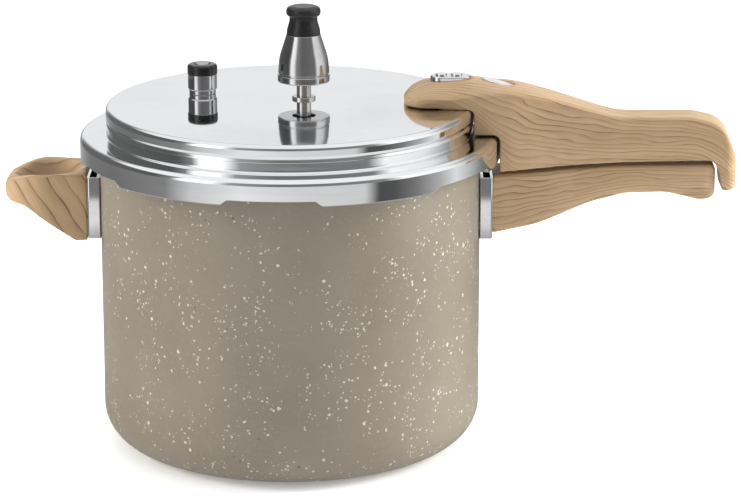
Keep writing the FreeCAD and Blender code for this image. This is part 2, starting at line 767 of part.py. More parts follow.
upper_round = round_edges(upper, upper_trim, "upper_handle_rounding", "handle_round",
                          lambda edge: is_long_rib(4.0, edge) and edge.BoundBox.ZMax > amount(UPPER_TOP) - 12)

saddle = turned("saddle_form", [
    ("0", LID_TOP),
    (CROWN_RADIUS + " + saddle_gap", LID_TOP, "crown_round"),
    (CROWN_RADIUS + " + saddle_gap", FLANGE_TOP + " + saddle_gap"),
    (SKIRT_RADIUS + " + saddle_gap", FLANGE_TOP + " + saddle_gap", "flange_round"),
    (SKIRT_RADIUS + " + saddle_gap", PARTING + " - parting_drop"),
    ("0", PARTING + " - parting_drop"),
])
strap_pocket_body = new_body("strap_pocket")
strap_pocket_sketch = new_sketch(strap_pocket_body, "strap_pocket_plan", "XY_Plane",
                                 lift=LID_TOP + " - 1")
add_outline(strap_pocket_sketch, [
    (STRAP_MIDDLE + " - strap_length / 2 - 0.5", "0 - strap_width / 2 - 0.5"),
    (STRAP_MIDDLE + " + strap_length / 2 + 0.5", "0 - strap_width / 2 - 0.5"),
    (STRAP_MIDDLE + " + strap_length / 2 + 0.5", "strap_width / 2 + 0.5"),
    (STRAP_MIDDLE + " - strap_length / 2 - 0.5", "strap_width / 2 + 0.5"),
])
pad(strap_pocket_body, strap_pocket_sketch, "strap_pocket_pad", "1 + strap_height + rivet_head + 0.5")


def oval(sketch, middle, length, width):
    """A rounded oblong about a place on X."""
    half_length = "(%s) / 2" % length
    half_width = "(%s) / 2" % width
    add_outline(sketch, [
        ("%s - %s" % (middle, half_length), "0 - " + half_width, half_width + " * 0.98"),
        ("%s + %s" % (middle, half_length), "0 - " + half_width, half_width + " * 0.98"),
        ("%s + %s" % (middle, half_length), half_width, half_width + " * 0.98"),
        ("%s - %s" % (middle, half_length), half_width, half_width + " * 0.98"),
    ])


def oval_block(label, middle, length, width, floor, height):
    body = new_body(label)
    sketch = new_sketch(body, label + "_plan", "XY_Plane", lift=floor)
    oval(sketch, middle, length, width)
    pad(body, sketch, label + "_pad", height)
    return body


PLATE_MIDDLE = "(" + STRAP_MIDDLE + " + 1)"
plate_seat = oval_block("plate_seat", PLATE_MIDDLE, "plate_length + 0.4", "plate_width + 0.4",
                        PLATE_FLOOR, "tongue_rise")
screw_bores = []
for sign in ("-", "+"):
    place = "%s %s screw_pitch / 2" % (STRAP_MIDDLE, sign)
    screw_bores.append(upright_rod("screw_bore" + str(len(screw_bores)), "screw_radius + fit_gap",
                                   place, "0", LID_TOP + " + 1", PLATE_FLOOR + " + 1"))

BADGE_MIDDLE = "(" + CROWN_RADIUS + " + 14)"
BADGE_FLOOR = "(" + LID_TOP + " + tongue_rise - 4.3)"


def badge_block(label, length, width, height):
    """The inlay's shape, laid on the falling top of the handle."""
    body = oval_block(label, "0", length, width, "0", height)
    about_y = FreeCAD.Rotation(FreeCAD.Vector(0, 1, 0), 1.0)
    body.Placement = FreeCAD.Placement(FreeCAD.Vector(), about_y)
    bind(body, "Placement.Rotation.Angle", "badge_tilt")
    bind(body, "Placement.Base.x", BADGE_MIDDLE)
    bind(body, "Placement.Base.z", BADGE_FLOOR)
    return body


badge_seat = badge_block("badge_seat", "badge_length + 0.3", "badge_width + 0.3", "badge_thickness * 6")
keep(badge_block("handle_badge", "badge_length", "badge_width", "badge_thickness"))
upper_cuts = join("upper_handle_cuts", [saddle, strap_pocket_body, plate_seat, badge_seat] + screw_bores)
keep(cut("upper_handle", upper, upper_cuts))

plate = new_body("handle_plate")
plate_sketch = new_sketch(plate, "handle_plate_plan", "XY_Plane", lift=PLATE_FLOOR)
oval(plate_sketch, PLATE_MIDDLE, "plate_length", "plate_width")
plate_pad = pad(plate, plate_sketch, "handle_plate_pad", "plate_thickness")
plate_rim = round_edges(plate, plate_pad, "handle_plate_rounding", "plate_round",
                        lambda edge: edge.BoundBox.ZMin > amount(PLATE_FLOOR) + 0.1)
plate_holes = new_sketch(plate, "handle_plate_holes", "XY_Plane")
for sign in ("-", "+"):
    add_circle(plate_holes, "%s %s screw_pitch / 2" % (STRAP_MIDDLE, sign), "0", "screw_radius + fit_gap")
pocket(plate, plate_holes, "handle_plate_drilling", both_ways=True)
keep(plate)


def plate_screw(name, across):
    """A round-headed screw through the plate and the handle into the strap."""
    head_floor = PLATE_FLOOR + " + plate_thickness"
    return turned(name, [
        ("0", LID_TOP + " + 0.3"),
        ("screw_radius", LID_TOP + " + 0.3", "0.4"),
        ("screw_radius", head_floor),
        ("screw_head_radius", head_floor),
        ("screw_head_radius", head_floor + " + screw_head", "0.7"),
        ("0", head_floor + " + screw_head"),
    ], across=across)


keep(group("handle_plate_screws", [
    plate_screw("plate_screw_in", STRAP_MIDDLE + " - screw_pitch / 2"),
    plate_screw("plate_screw_out", STRAP_MIDDLE + " + screw_pitch / 2"),
]))

# ---------------------------------------------------------------- vent pipe with washer and nut


def at_vent(label, corners):
    return keep(turned(label, corners, across="vent_across", back="vent_back"))


at_vent("vent_pipe", [
    ("vent_bore", LID_UNDER + " - vent_tail"),
    ("vent_thread", LID_UNDER + " - vent_tail", "0.6"),
    ("vent_thread", LID_TOP),
    ("vent_flange", LID_TOP),
    ("vent_flange", LID_TOP + " + 1.6", "0.6"),
    ("vent_radius", LID_TOP + " + 1.6"),
    ("vent_radius", LID_TOP + " + vent_height * 0.66"),
    ("vent_radius * 0.75", LID_TOP + " + vent_height * 0.72"),
    ("vent_radius * 0.75", LID_TOP + " + vent_height * 0.9"),
    ("vent_radius * 0.5", LID_TOP + " + vent_height"),
    ("vent_bore", LID_TOP + " + vent_height"),
])
at_vent("vent_washer", [
    ("vent_thread + fit_gap", LID_UNDER + " - washer_thickness"),
    ("washer_radius", LID_UNDER + " - washer_thickness", "0.4"),
    ("washer_radius", LID_UNDER),
    ("vent_thread + fit_gap", LID_UNDER),
])


def hexagon(sketch, radius):
    """A regular hexagon about the origin, given its corner radius."""
    root = "0.8660254 * (%s)" % radius
    half = "0.5 * (%s)" % radius
    add_outline(sketch, [
        ("(%s)" % radius, "0"),
        (half, root),
        ("0 - " + half, root),
        ("0 - (%s)" % radius, "0"),
        ("0 - " + half, "0 - " + root),
        (half, "0 - " + root),
    ])


def hex_nut(label, across, back, radius, hole, top):
    """A hexagon nut whose top face is at a height."""
    body = new_body(label)
    sketch = new_sketch(body, label + "_hexagon", "XY_Plane")
    hexagon(sketch, radius)
    add_circle(sketch, "0", "0", hole)
    pad(body, sketch, label + "_pad", "nut_height")
    bind(body, "Placement.Base.x", across)
    bind(body, "Placement.Base.y", back)
    bind(body, "Placement.Base.z", top + " - nut_height")
    return keep(body)


hex_nut("vent_nut", "vent_across", "vent_back", "nut_radius", "vent_thread + fit_gap",
        LID_UNDER + " - washer_thickness")

# ---------------------------------------------------------------- regulating weight

FOOT_TOP = "(" + WEIGHT_BOTTOM + " + weight_foot)"
at_vent("weight_bell", [
    ("weight_bore", WEIGHT_BOTTOM),
    ("weight_radius", WEIGHT_BOTTOM, "1"),
    ("weight_radius", FOOT_TOP, "0.6"),
    ("weight_radius - weight_groove", FOOT_TOP),
    ("weight_radius - weight_groove", FOOT_TOP + " + weight_groove"),
    ("weight_radius - 0.3", FOOT_TOP + " + weight_groove", "0.4"),
    ("weight_radius - 0.9", FOOT_TOP + " + weight_height * 0.45", "60"),
    ("weight_top_radius", WEIGHT_TOP + " - 1"),
    ("weight_top_radius", WEIGHT_TOP),
    ("stud_radius + fit_gap", WEIGHT_TOP),
    ("stud_radius + fit_gap", SEAT_TOP),
    ("weight_bore", SEAT_TOP),
])
PIPE_TOP = "(" + LID_TOP + " + vent_height + seat_gap)"
at_vent("weight_seat", [
    ("0", PIPE_TOP),
    ("vent_radius * 0.75 + 0.5", PIPE_TOP),
    ("vent_radius * 0.75 + 0.5", PIPE_TOP + " - seat_height / 2 + 1"),
    ("weight_bore - fit_gap", PIPE_TOP + " - seat_height / 2 + 1"),
    ("weight_bore - fit_gap", SEAT_TOP),
    ("0", SEAT_TOP),
])
at_vent("weight_stud", [
    ("0", SEAT_TOP),
    ("stud_radius", SEAT_TOP),
    ("stud_radius", WEIGHT_TOP + " + stud_depth", "0.5"),
    ("0", WEIGHT_TOP + " + stud_depth"),
])
at_vent("weight_knob", [
    ("stud_radius + fit_gap", WEIGHT_TOP),
    ("weight_top_radius", WEIGHT_TOP, "0.8"),
    ("knob_neck", WEIGHT_TOP + " + knob_height * 0.55", "8"),
    ("knob_bulge", WEIGHT_TOP + " + knob_height * 0.72", "2"),
    ("knob_bulge", WEIGHT_TOP + " + knob_height - 2", "1.5"),
    ("knob_bulge - 3", WEIGHT_TOP + " + knob_height", "3"),
    ("0", WEIGHT_TOP + " + knob_height"),
    ("0", WEIGHT_TOP + " + stud_depth + 0.2"),
    ("stud_radius + fit_gap", WEIGHT_TOP + " + stud_depth + 0.2"),
])

# ---------------------------------------------------------------- spring safety valve


def at_relief(label, corners):
    return keep(turned(label, corners, across="0 - relief_across", back="relief_back"))


BARREL_TOP = "(" + LID_TOP + " + relief_height)"
BARREL_FLOOR = "(" + LID_TOP + " + relief_floor)"
at_relief("relief_barrel", [
    ("relief_inlet", LID_UNDER + " - relief_tail"),
    ("relief_thread", LID_UNDER + " - relief_tail", "0.6"),
    ("relief_thread", LID_TOP),
    ("relief_foot_radius", LID_TOP, "0.4"),
    ("relief_foot_radius", LID_TOP + " + 2.5"),
    ("relief_radius", LID_TOP + " + 3.2"),
    ("relief_radius", BARREL_TOP, "0.5"),
    ("relief_radius - relief_wall", BARREL_TOP),
    ("relief_radius - relief_wall", BARREL_FLOOR),
    ("relief_inlet", BARREL_FLOOR),
])
at_relief("relief_washer", [
    ("relief_thread + fit_gap", LID_UNDER + " - washer_thickness"),
    ("washer_radius + 1", LID_UNDER + " - washer_thickness", "0.4"),
    ("washer_radius + 1", LID_UNDER),
    ("relief_thread + fit_gap", LID_UNDER),
])
hex_nut("relief_nut", "0 - relief_across", "relief_back", "nut_radius + 1", "relief_thread + fit_gap",
        LID_UNDER + " - washer_thickness")
CAP_ROOF = "(" + CAP_TOP + " - relief_cap_roof)"
at_relief("relief_cap", [
    ("relief_radius - relief_wall", BARREL_TOP),
    ("relief_cap_radius", BARREL_TOP),
    ("relief_cap_radius", CAP_TOP, "2"),
    ("relief_cap_hole", CAP_TOP, "0.5"),
    ("relief_cap_hole", CAP_ROOF),
    ("relief_radius - relief_wall", CAP_ROOF),
])
PISTON_LOW = "(" + BARREL_FLOOR + " + seat_gap)"
PISTON_SHOULDER = "(" + PISTON_LOW + " + piston_flange)"
at_relief("relief_piston", [
    ("0", PISTON_LOW),
    ("piston_radius", PISTON_LOW),
    ("piston_radius", PISTON_SHOULDER, "0.3"),
    ("piston_stem", PISTON_SHOULDER),
    ("piston_stem", CAP_ROOF + " + 0.4"),
    ("piston_head_radius", CAP_ROOF + " + 0.4"),
    ("piston_head_radius", CAP_TOP + " + piston_proud", "0.5"),
    ("0", CAP_TOP + " + piston_proud"),
])

# The spring: a helix swept by a round wire, between the piston's flange and the cap's roof.
spring_path = doc.addObject("Part::Helix", "relief_spring_path")
SPRING_HEIGHT = "(%s - %s - 2 * spring_wire - 0.4)" % (CAP_ROOF, PISTON_SHOULDER)
bind(spring_path, "Radius", "spring_radius")
bind(spring_path, "Height", SPRING_HEIGHT)
bind(spring_path, "Pitch", SPRING_HEIGHT + " / spring_turns")
spring_wire = doc.addObject("Part::Circle", "relief_spring_wire")
across_wire = FreeCAD.Rotation(FreeCAD.Vector(1, 0, 0), 90.0)
spring_wire.Placement = FreeCAD.Placement(FreeCAD.Vector(), across_wire)
bind(spring_wire, "Radius", "spring_wire")
bind(spring_wire, "Placement.Base.x", "spring_radius")
spring = doc.addObject("Part::Sweep", "relief_spring")
spring.Label = "relief_spring"
spring.Sections = [spring_wire]
spring.Spine = (spring_path, [])
spring.Solid = True
spring.Frenet = True
bind(spring, "Placement.Base.x", "0 - relief_across")
bind(spring, "Placement.Base.y", "relief_back")
bind(spring, "Placement.Base.z", PISTON_SHOULDER + " + spring_wire + 0.2")
keep(spring)

# ---------------------------------------------------------------- check and write

doc.recompute()
faults = []
for item in doc.Objects:
    if "Invalid" in item.State or "Error" in item.State:
        faults.append("%s failed: %s" % (item.Name, item.getStatusString()))
    if item.TypeId == "PartDesign::Pocket" and item.Shape.Volume >= item.BaseFeature.Shape.Volume - 0.01:
        faults.append("%s cuts nothing" % item.Name)
for label, piece in nodes.items():
    shape = piece.Shape
    if shape.isNull() or not shape.isValid() or not shape.Solids:
        faults.append("%s has no sound solid" % label)
if faults:
    raise SystemExit("\n".join(faults))

os.makedirs("parts", exist_ok=True)
for label, piece in nodes.items():
    piece.Shape.exportStep("parts/%s.step" % label)
print("%d sub-parts written" % len(nodes))
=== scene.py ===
import math

import bmesh
import bpy
import numpy as np
from mathutils import Matrix, Vector


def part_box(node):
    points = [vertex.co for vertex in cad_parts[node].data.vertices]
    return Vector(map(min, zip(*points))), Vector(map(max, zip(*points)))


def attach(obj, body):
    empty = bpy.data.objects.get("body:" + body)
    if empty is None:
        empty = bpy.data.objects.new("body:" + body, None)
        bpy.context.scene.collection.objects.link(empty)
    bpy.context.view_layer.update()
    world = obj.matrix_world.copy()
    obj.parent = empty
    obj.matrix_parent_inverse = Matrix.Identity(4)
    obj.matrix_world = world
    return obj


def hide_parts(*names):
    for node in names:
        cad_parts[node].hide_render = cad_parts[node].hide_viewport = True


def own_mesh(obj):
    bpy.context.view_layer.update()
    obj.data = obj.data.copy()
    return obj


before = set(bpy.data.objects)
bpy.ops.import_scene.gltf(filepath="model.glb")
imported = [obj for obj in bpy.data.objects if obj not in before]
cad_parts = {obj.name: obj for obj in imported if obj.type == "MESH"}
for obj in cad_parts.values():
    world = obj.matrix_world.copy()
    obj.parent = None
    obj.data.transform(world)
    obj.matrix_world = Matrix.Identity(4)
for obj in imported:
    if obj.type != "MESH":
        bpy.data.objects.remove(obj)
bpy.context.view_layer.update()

# ------------------------------------------------------------------ studio
# A plain white sweep of floor, a soft light from above and one at each side, and a surrounding
# of pale and dark walls, which is what polished metal needs to look like metal.


def new_mesh_object(name, mesh):
    """Put a mesh into the scene as a named object."""
    piece = bpy.data.objects.new(name, mesh)
    bpy.context.scene.collection.objects.link(piece)
    return piece


def mesh_from(name, vertices, faces):
    """A mesh object from plain lists, shaded smooth, with its normals made consistent."""
    mesh = bpy.data.meshes.new(name)
    mesh.from_pydata([tuple(v) for v in vertices], [], faces)
    shape = bmesh.new()
    shape.from_mesh(mesh)
    bmesh.ops.recalc_face_normals(shape, faces=shape.faces)
    for face in shape.faces:
        face.smooth = True
    shape.to_mesh(mesh)
    shape.free()
    return new_mesh_object(name, mesh)


FLOOR_HALF = 3.0
floor = mesh_from("floor", [(-FLOOR_HALF, -FLOOR_HALF, 0), (FLOOR_HALF, -FLOOR_HALF, 0),
                            (FLOOR_HALF, FLOOR_HALF, 0), (-FLOOR_HALF, FLOOR_HALF, 0)], [(0, 1, 2, 3)])
floor_paint = bpy.data.materials.new("floor_paint")
floor_paint.use_nodes = True
floor_shader = floor_paint.node_tree.nodes["Principled BSDF"].inputs
floor_shader["Base Color"].default_value = (0.97, 0.97, 0.97, 1)
floor_shader["Roughness"].default_value = 0.6
floor_shader["Emission Color"].default_value = (1, 1, 1, 1)
floor_shader["Emission Strength"].default_value = 0.22
floor.data.materials.append(floor_paint)
floor.visible_glossy = False


def soft_light(name, place, target, width, height, power):
    """A rectangular studio light that points at a place."""
    lamp = bpy.data.lights.new(name, "AREA")
    lamp.shape = "RECTANGLE"
    lamp.size = width
    lamp.size_y = height
    lamp.energy = power
    holder = bpy.data.objects.new(name, lamp)
    bpy.context.scene.collection.objects.link(holder)
    holder.location = place
    holder.rotation_euler = (Vector(target) - Vector(place)).to_track_quat("-Z", "Y").to_euler()
    holder.visible_glossy = False


POT_MIDDLE = (0.0, 0.0, 0.1)
soft_light("light_above", (0.0, 0.15, 1.6), POT_MIDDLE, 1.6, 1.6, 4.5)
soft_light("light_left", (-1.5, 0.05, 0.55), POT_MIDDLE, 0.5, 1.0, 20.0)
soft_light("light_right", (1.5, 0.20, 0.55), POT_MIDDLE, 0.4, 1.0, 34.0)

world = bpy.data.worlds.new("studio")
bpy.context.scene.world = world
world.use_nodes = True
studio = world.node_tree
studio.nodes.clear()


def link(tree, source, target):
    """Join one node's output to another's input."""
    tree.links.new(source, target)


def feed(tree, socket, value):
    """Give a socket a number, a vector, an (r, g, b) colour or the output of another node."""
    if isinstance(value, bpy.types.NodeSocket):
        link(tree, value, socket)
    elif socket.type == "RGBA" and len(value) == 3:
        socket.default_value = (*value, 1.0)
    else:
        socket.default_value = value


def math_node(tree, operation, *values, clamp=False):
    """A Math node fed by sockets or plain numbers."""
    node = tree.nodes.new("ShaderNodeMath")
    node.operation = operation
    node.use_clamp = clamp
    for socket, value in zip(node.inputs, values):
        feed(tree, socket, value)
    return node.outputs[0]


def mix_colour(tree, factor, first, second):
    """A mix of two colours."""
    node = tree.nodes.new("ShaderNodeMix")
    node.data_type = "RGBA"
    for socket, value in ((node.inputs["Factor"], factor), (node.inputs[6], first), (node.inputs[7], second)):
        feed(tree, socket, value)
    return node.outputs[2]


def rising(tree, value, low, high):
    """A smooth step from 0 at low to 1 at high."""
    node = tree.nodes.new("ShaderNodeMapRange")
    node.interpolation_type = "SMOOTHSTEP"
    node.inputs["From Min"].default_value = low
    node.inputs["From Max"].default_value = high
    link(tree, value, node.inputs["Value"])
    return node.outputs["Result"]


def wall_ramp(tree, turn, walls):
    """Grey walls all round, as (degrees, grey) pairs counted from the viewer's side to the right."""
    node = tree.nodes.new("ShaderNodeValToRGB")
    stops = node.color_ramp.elements
    while len(stops) < len(walls):
        stops.new(0.5)
    for stop, (degrees, grey) in zip(stops, walls):
        stop.position = (degrees + 180) / 360
        stop.color = (grey, grey, grey, 1.0)
    link(tree, turn, node.inputs["Fac"])
    return node.outputs["Color"]


way = studio.nodes.new("ShaderNodeTexCoord").outputs["Generated"]
split_way = studio.nodes.new("ShaderNodeSeparateXYZ")
link(studio, way, split_way.inputs[0])
level = split_way.outputs["Z"]
toward_viewer = math_node(studio, "MULTIPLY", split_way.outputs["Y"], -1.0)
around = math_node(studio, "ARCTAN2", split_way.outputs["X"], toward_viewer)
around = math_node(studio, "ADD", math_node(studio, "DIVIDE", around, 2 * math.pi), 0.5)
upper_walls = wall_ramp(studio, around, [
    (-180, 0.60), (-165, 0.45), (-150, 0.14), (-76, 0.10), (-66, 0.25), (-58, 1.60), (-44, 1.40),
    (-32, 0.35), (-6, 0.18), (24, 0.20), (54, 0.24), (66, 1.15), (98, 1.00), (124, 0.35), (154, 0.24),
    (172, 0.55)])
lower_walls = wall_ramp(studio, around, [
    (-180, 0.55), (-165, 0.42), (-140, 0.20), (-112, 0.17), (-70, 0.24), (-54, 0.62), (-26, 0.86),
    (6, 0.72), (42, 0.66), (50, 0.08), (60, 0.09), (74, 0.20), (90, 0.45), (104, 0.80), (130, 0.22),
    (155, 0.06), (176, 0.45)])

# From below: a grey table, the lower walls, the upper walls and a pale ceiling, with a pale screen
# behind the object that its lid mirrors.
walls = mix_colour(studio, rising(studio, level, -0.20, -0.08), lower_walls, upper_walls)
walls = mix_colour(studio, rising(studio, level, -0.42, -0.62), walls, (0.42, 0.42, 0.42))
walls = mix_colour(studio, rising(studio, level, 0.50, 0.66), walls, (0.95, 0.96, 0.97))
screen = rising(studio, split_way.outputs["Y"], 0.90, 0.955)
screen = math_node(studio, "MULTIPLY", screen, rising(studio, level, 0.02, 0.12))
room = mix_colour(studio, screen, walls, (0.86, 0.87, 0.88))

# Only mirror-like rays see that room. Other rays get an even soft fill, and the backdrop is white.
ray = studio.nodes.new("ShaderNodeLightPath").outputs
fill = mix_colour(studio, rising(studio, level, -0.1, 0.9), (0.78, 0.77, 0.76), (0.90, 0.90, 0.90))
fill = mix_colour(studio, rising(studio, toward_viewer, 0.25, 0.85), fill, (0.45, 0.44, 0.43))
backdrop = mix_colour(studio, ray["Is Glossy Ray"], fill, room)
backdrop = mix_colour(studio, ray["Is Camera Ray"], backdrop, (1.0, 1.0, 1.0))
glow = studio.nodes.new("ShaderNodeBackground")
link(studio, backdrop, glow.inputs["Color"])
link(studio, glow.outputs[0], studio.nodes.new("ShaderNodeOutputWorld").inputs["Surface"])

camera_data = bpy.data.cameras.new("camera")
camera_data.lens = 155.5
camera_data.sensor_width = 36.0
camera = bpy.data.objects.new("camera", camera_data)
bpy.context.scene.collection.objects.link(camera)
camera.location = (0.0477, -1.849, 0.6266)
camera.rotation_euler = (math.radians(74.51), 0.0, 0.0)
bpy.context.scene.camera = camera
bpy.context.scene.view_settings.view_transform = "Standard"

# ------------------------------------------------------------------ pot
# The pot is deep drawn from aluminium sheet, trued at the rim and coated outside with a taupe
# enamel that carries a scatter of off-white flecks. Six lugs stand out round the rim.

RIM_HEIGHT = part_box("pot_shell")[1][2]
POT_RADIUS = 0.113
POT_WALL = 0.003
POT_CORNER = 0.023
BASE_THICKNESS = 0.0036


def rounded(corners, steps=7, guard=0.0004):
    """An outline from (across, up, radius) corners, with arcs and a guard point at each arc's ends."""
    points = []
    count = len(corners)
    for index, (across, up, radius) in enumerate(corners):
        here = Vector((across, up))
        if radius == 0:
            points.append(here)
            continue
        back = Vector(corners[index - 1][:2]) - here
        ahead = Vector(corners[(index + 1) % count][:2]) - here
        room_back, room_ahead = back.length, ahead.length
        back.normalize()
        ahead.normalize()
        half_turn = (math.pi - back.angle(ahead)) / 2
        setback = radius * math.tan(half_turn)
        centre = here + (back + ahead).normalized() * radius / math.cos(half_turn)
        start = here + back * setback
        finish = here + ahead * setback
        if room_back > setback + 3 * guard:
            points.append(start + back * guard)
        first = math.atan2(start.y - centre.y, start.x - centre.x)
        swing = math.atan2(finish.y - centre.y, finish.x - centre.x) - first
        swing = (swing + math.pi) % (2 * math.pi) - math.pi
        for step in range(steps + 1):
            angle = first + swing * step / steps
            points.append(centre + Vector((math.cos(angle), math.sin(angle))) * radius)
        if room_ahead > setback + 3 * guard:
            points.append(finish + ahead * guard)
    return [(point.x, point.y) for point in points]


def lathe(name, outline, material, centre=(0.0, 0.0), segments=160):
    """Turn a closed outline about an upright axis. Points on the axis become single poles."""
    vertices, faces, rows = [], [], []
    for radius, height in outline:
        row = []
        for step in range(1 if radius < 1e-7 else segments):
            angle = 2 * math.pi * step / segments
            row.append(len(vertices))
            vertices.append((centre[0] + radius * math.cos(angle), centre[1] + radius * math.sin(angle),
                             height))
        rows.append(row)
    for index, row in enumerate(rows):
        after = rows[(index + 1) % len(rows)]
        if len(row) == len(after) == 1:
            continue
        for step in range(segments):
            following = (step + 1) % segments
            corners = [row[step % len(row)], row[following % len(row)],
                       after[following % len(after)], after[step % len(after)]]
            faces.append(list(dict.fromkeys(corners)))
    piece = mesh_from(name, vertices, faces)
    piece.data.materials.append(material)
    return piece


def new_group(name, inputs, outputs):
    """An empty shader node group with named sockets; returns the tree and its two ends."""
    tree = bpy.data.node_groups.new(name, "ShaderNodeTree")
    for label, kind, value in inputs:
        socket = tree.interface.new_socket(name=label, in_out="INPUT", socket_type=kind)
        if value is not None:
            socket.default_value = value
    for label, kind in outputs:
        tree.interface.new_socket(name=label, in_out="OUTPUT", socket_type=kind)
    return tree, tree.nodes.new("NodeGroupInput").outputs, tree.nodes.new("NodeGroupOutput").inputs


def stretch(tree, vector, scale):
    """Texture places stretched by three numbers."""
    node = tree.nodes.new("ShaderNodeMapping")
    node.inputs["Scale"].default_value = scale
    link(tree, vector, node.inputs["Vector"])
    return node.outputs[0]


def noise(tree, vector, scale, detail=3.0, rough=0.55):
    """A noise texture; a scale of three numbers stretches it."""
    if isinstance(scale, tuple):
        vector = stretch(tree, vector, scale)
        scale = 1.0
    node = tree.nodes.new("ShaderNodeTexNoise")
    for label, value in (("Vector", vector), ("Scale", scale), ("Detail", detail), ("Roughness", rough)):
        feed(tree, node.inputs[label], value)
    return node.outputs["Fac"]


def fleck_group():
    """Scattered chips: how many, how large and how bunched, as a mask."""
    tree, given, result = new_group("flecks", [
        ("Vector", "NodeSocketVector", None), ("Scale", "NodeSocketFloat", 300.0),
        ("Size", "NodeSocketFloat", 0.3), ("Keep", "NodeSocketFloat", 0.5),
        ("Bunching", "NodeSocketFloat", 40.0)], [("Mask", "NodeSocketFloat")])
    wobble = noise(tree, given["Vector"], 900.0, detail=2.0)
    shift = tree.nodes.new("ShaderNodeVectorMath")
    shift.operation = "MULTIPLY_ADD"
    link(tree, wobble.node.outputs["Color"], shift.inputs[0])
    shift.inputs[1].default_value = (0.0022, 0.0022, 0.0022)
    link(tree, given["Vector"], shift.inputs[2])
    cells = tree.nodes.new("ShaderNodeTexVoronoi")
    link(tree, shift.outputs[0], cells.inputs["Vector"])
    link(tree, given["Scale"], cells.inputs["Scale"])
    chance = tree.nodes.new("ShaderNodeSeparateColor")
    link(tree, cells.outputs["Color"], chance.inputs[0])
    reach = math_node(tree, "MULTIPLY", given["Size"], math_node(tree, "ADD", chance.outputs["Red"], 0.35))
    edge = math_node(tree, "SUBTRACT", reach, cells.outputs["Distance"])
    spot = math_node(tree, "MULTIPLY", edge, 14.0, clamp=True)
    bunch = noise(tree, given["Vector"], given["Bunching"], detail=2.0, rough=0.6)
    odds = math_node(tree, "MULTIPLY", rising(tree, bunch, 0.42, 0.68), given["Keep"])
    kept = math_node(tree, "LESS_THAN", chance.outputs["Green"], odds)
    link(tree, math_node(tree, "MULTIPLY", spot, kept), result["Mask"])
    return tree


flecks = fleck_group()


def use_group(tree, group, **values):
    """Place a shader node group; keys are its input names with _ for a blank."""
    node = tree.nodes.new("ShaderNodeGroup")
    node.node_tree = group
    for label, value in values.items():
        feed(tree, node.inputs[label.replace("_", " ")], value)
    return node.outputs


def new_finish(name, colour, roughness, metallic=0.0, **plain):
    """A material with a Principled shader; plain values are set on the shader's own sockets."""
    material = bpy.data.materials.new(name)
    material.use_nodes = True
    tree = material.node_tree
    shader = tree.nodes["Principled BSDF"]
    shader.inputs["Base Color"].default_value = (*colour, 1.0)
    shader.inputs["Roughness"].default_value = roughness
    shader.inputs["Metallic"].default_value = metallic
    for label, value in plain.items():
        shader.inputs[label.replace("_", " ")].default_value = value
    place = tree.nodes.new("ShaderNodeTexCoord").outputs["Object"]
    return material, tree, shader, place


def dress(tree, shader, colour, roughness, height, strength, distance):
    """Feed a shader its colour and roughness, and a bump of a given strength and depth."""
    bump = tree.nodes.new("ShaderNodeBump")
    bump.inputs["Strength"].default_value = strength
    bump.inputs["Distance"].default_value = distance
    link(tree, height, bump.inputs["Height"])
    link(tree, colour, shader.inputs["Base Color"])
    link(tree, roughness, shader.inputs["Roughness"])
    link(tree, bump.outputs["Normal"], shader.inputs["Normal"])


def coated_pot():
    """Taupe enamel: a slow drift of tone, pale chips of two sizes and a few dark pits."""
    material, tree, shader, place = new_finish("taupe_coating", (0.2, 0.18, 0.15), 0.42, Coat_Weight=0.25,
                                               Coat_Roughness=0.35)
    drift = noise(tree, place, 14.0, detail=4.0)
    mottle = noise(tree, place, 420.0, detail=2.0)
    large = use_group(tree, flecks, Vector=place, Scale=310.0, Size=0.27, Keep=0.36, Bunching=38.0)
    small = use_group(tree, flecks, Vector=place, Scale=620.0, Size=0.36, Keep=0.42, Bunching=60.0)
    pits = use_group(tree, flecks, Vector=stretch(tree, place, (1.3, 1.3, 1.3)), Scale=300.0, Size=0.34,
                     Keep=0.02, Bunching=30.0)
    chips = math_node(tree, "MAXIMUM", large["Mask"], small["Mask"])
    colour = mix_colour(tree, rising(tree, drift, 0.35, 0.65), (0.218, 0.187, 0.138), (0.246, 0.212, 0.160))
    for mask, share, spot in ((rising(tree, mottle, 0.5, 0.75), 0.35, (0.29, 0.255, 0.20)),
                              (chips, 0.85, (0.66, 0.62, 0.54)),
                              (pits["Mask"], 0.7, (0.09, 0.075, 0.055))):
        colour = mix_colour(tree, math_node(tree, "MULTIPLY", mask, share), colour, spot)
    roughness = math_node(tree, "MULTIPLY_ADD", mottle, 0.12, 0.36)
    grit = math_node(tree, "ADD", math_node(tree, "MULTIPLY", mottle, 0.5), chips)
    dress(tree, shader, colour, roughness, grit, 0.35, 0.00015)
    return material


taupe = coated_pot()
pot = lathe("pot_body", rounded([
    (0.0, 0.0, 0),
    (POT_RADIUS, 0.0, POT_CORNER),
    (POT_RADIUS, RIM_HEIGHT, 0.001),
    (POT_RADIUS - POT_WALL, RIM_HEIGHT, 0.001),
    (POT_RADIUS - POT_WALL, BASE_THICKNESS, POT_CORNER - POT_WALL),
    (0.0, BASE_THICKNESS, 0),
], steps=14), taupe, segments=224)

LOCK_COUNT = 6
LOCK_PHASE = math.radians(-3.7)
LUG_ANGLE = math.radians(22)
LUG_RADIUS = 0.119
LUG_LOW = 0.1755
LUG_HIGH = 0.1785


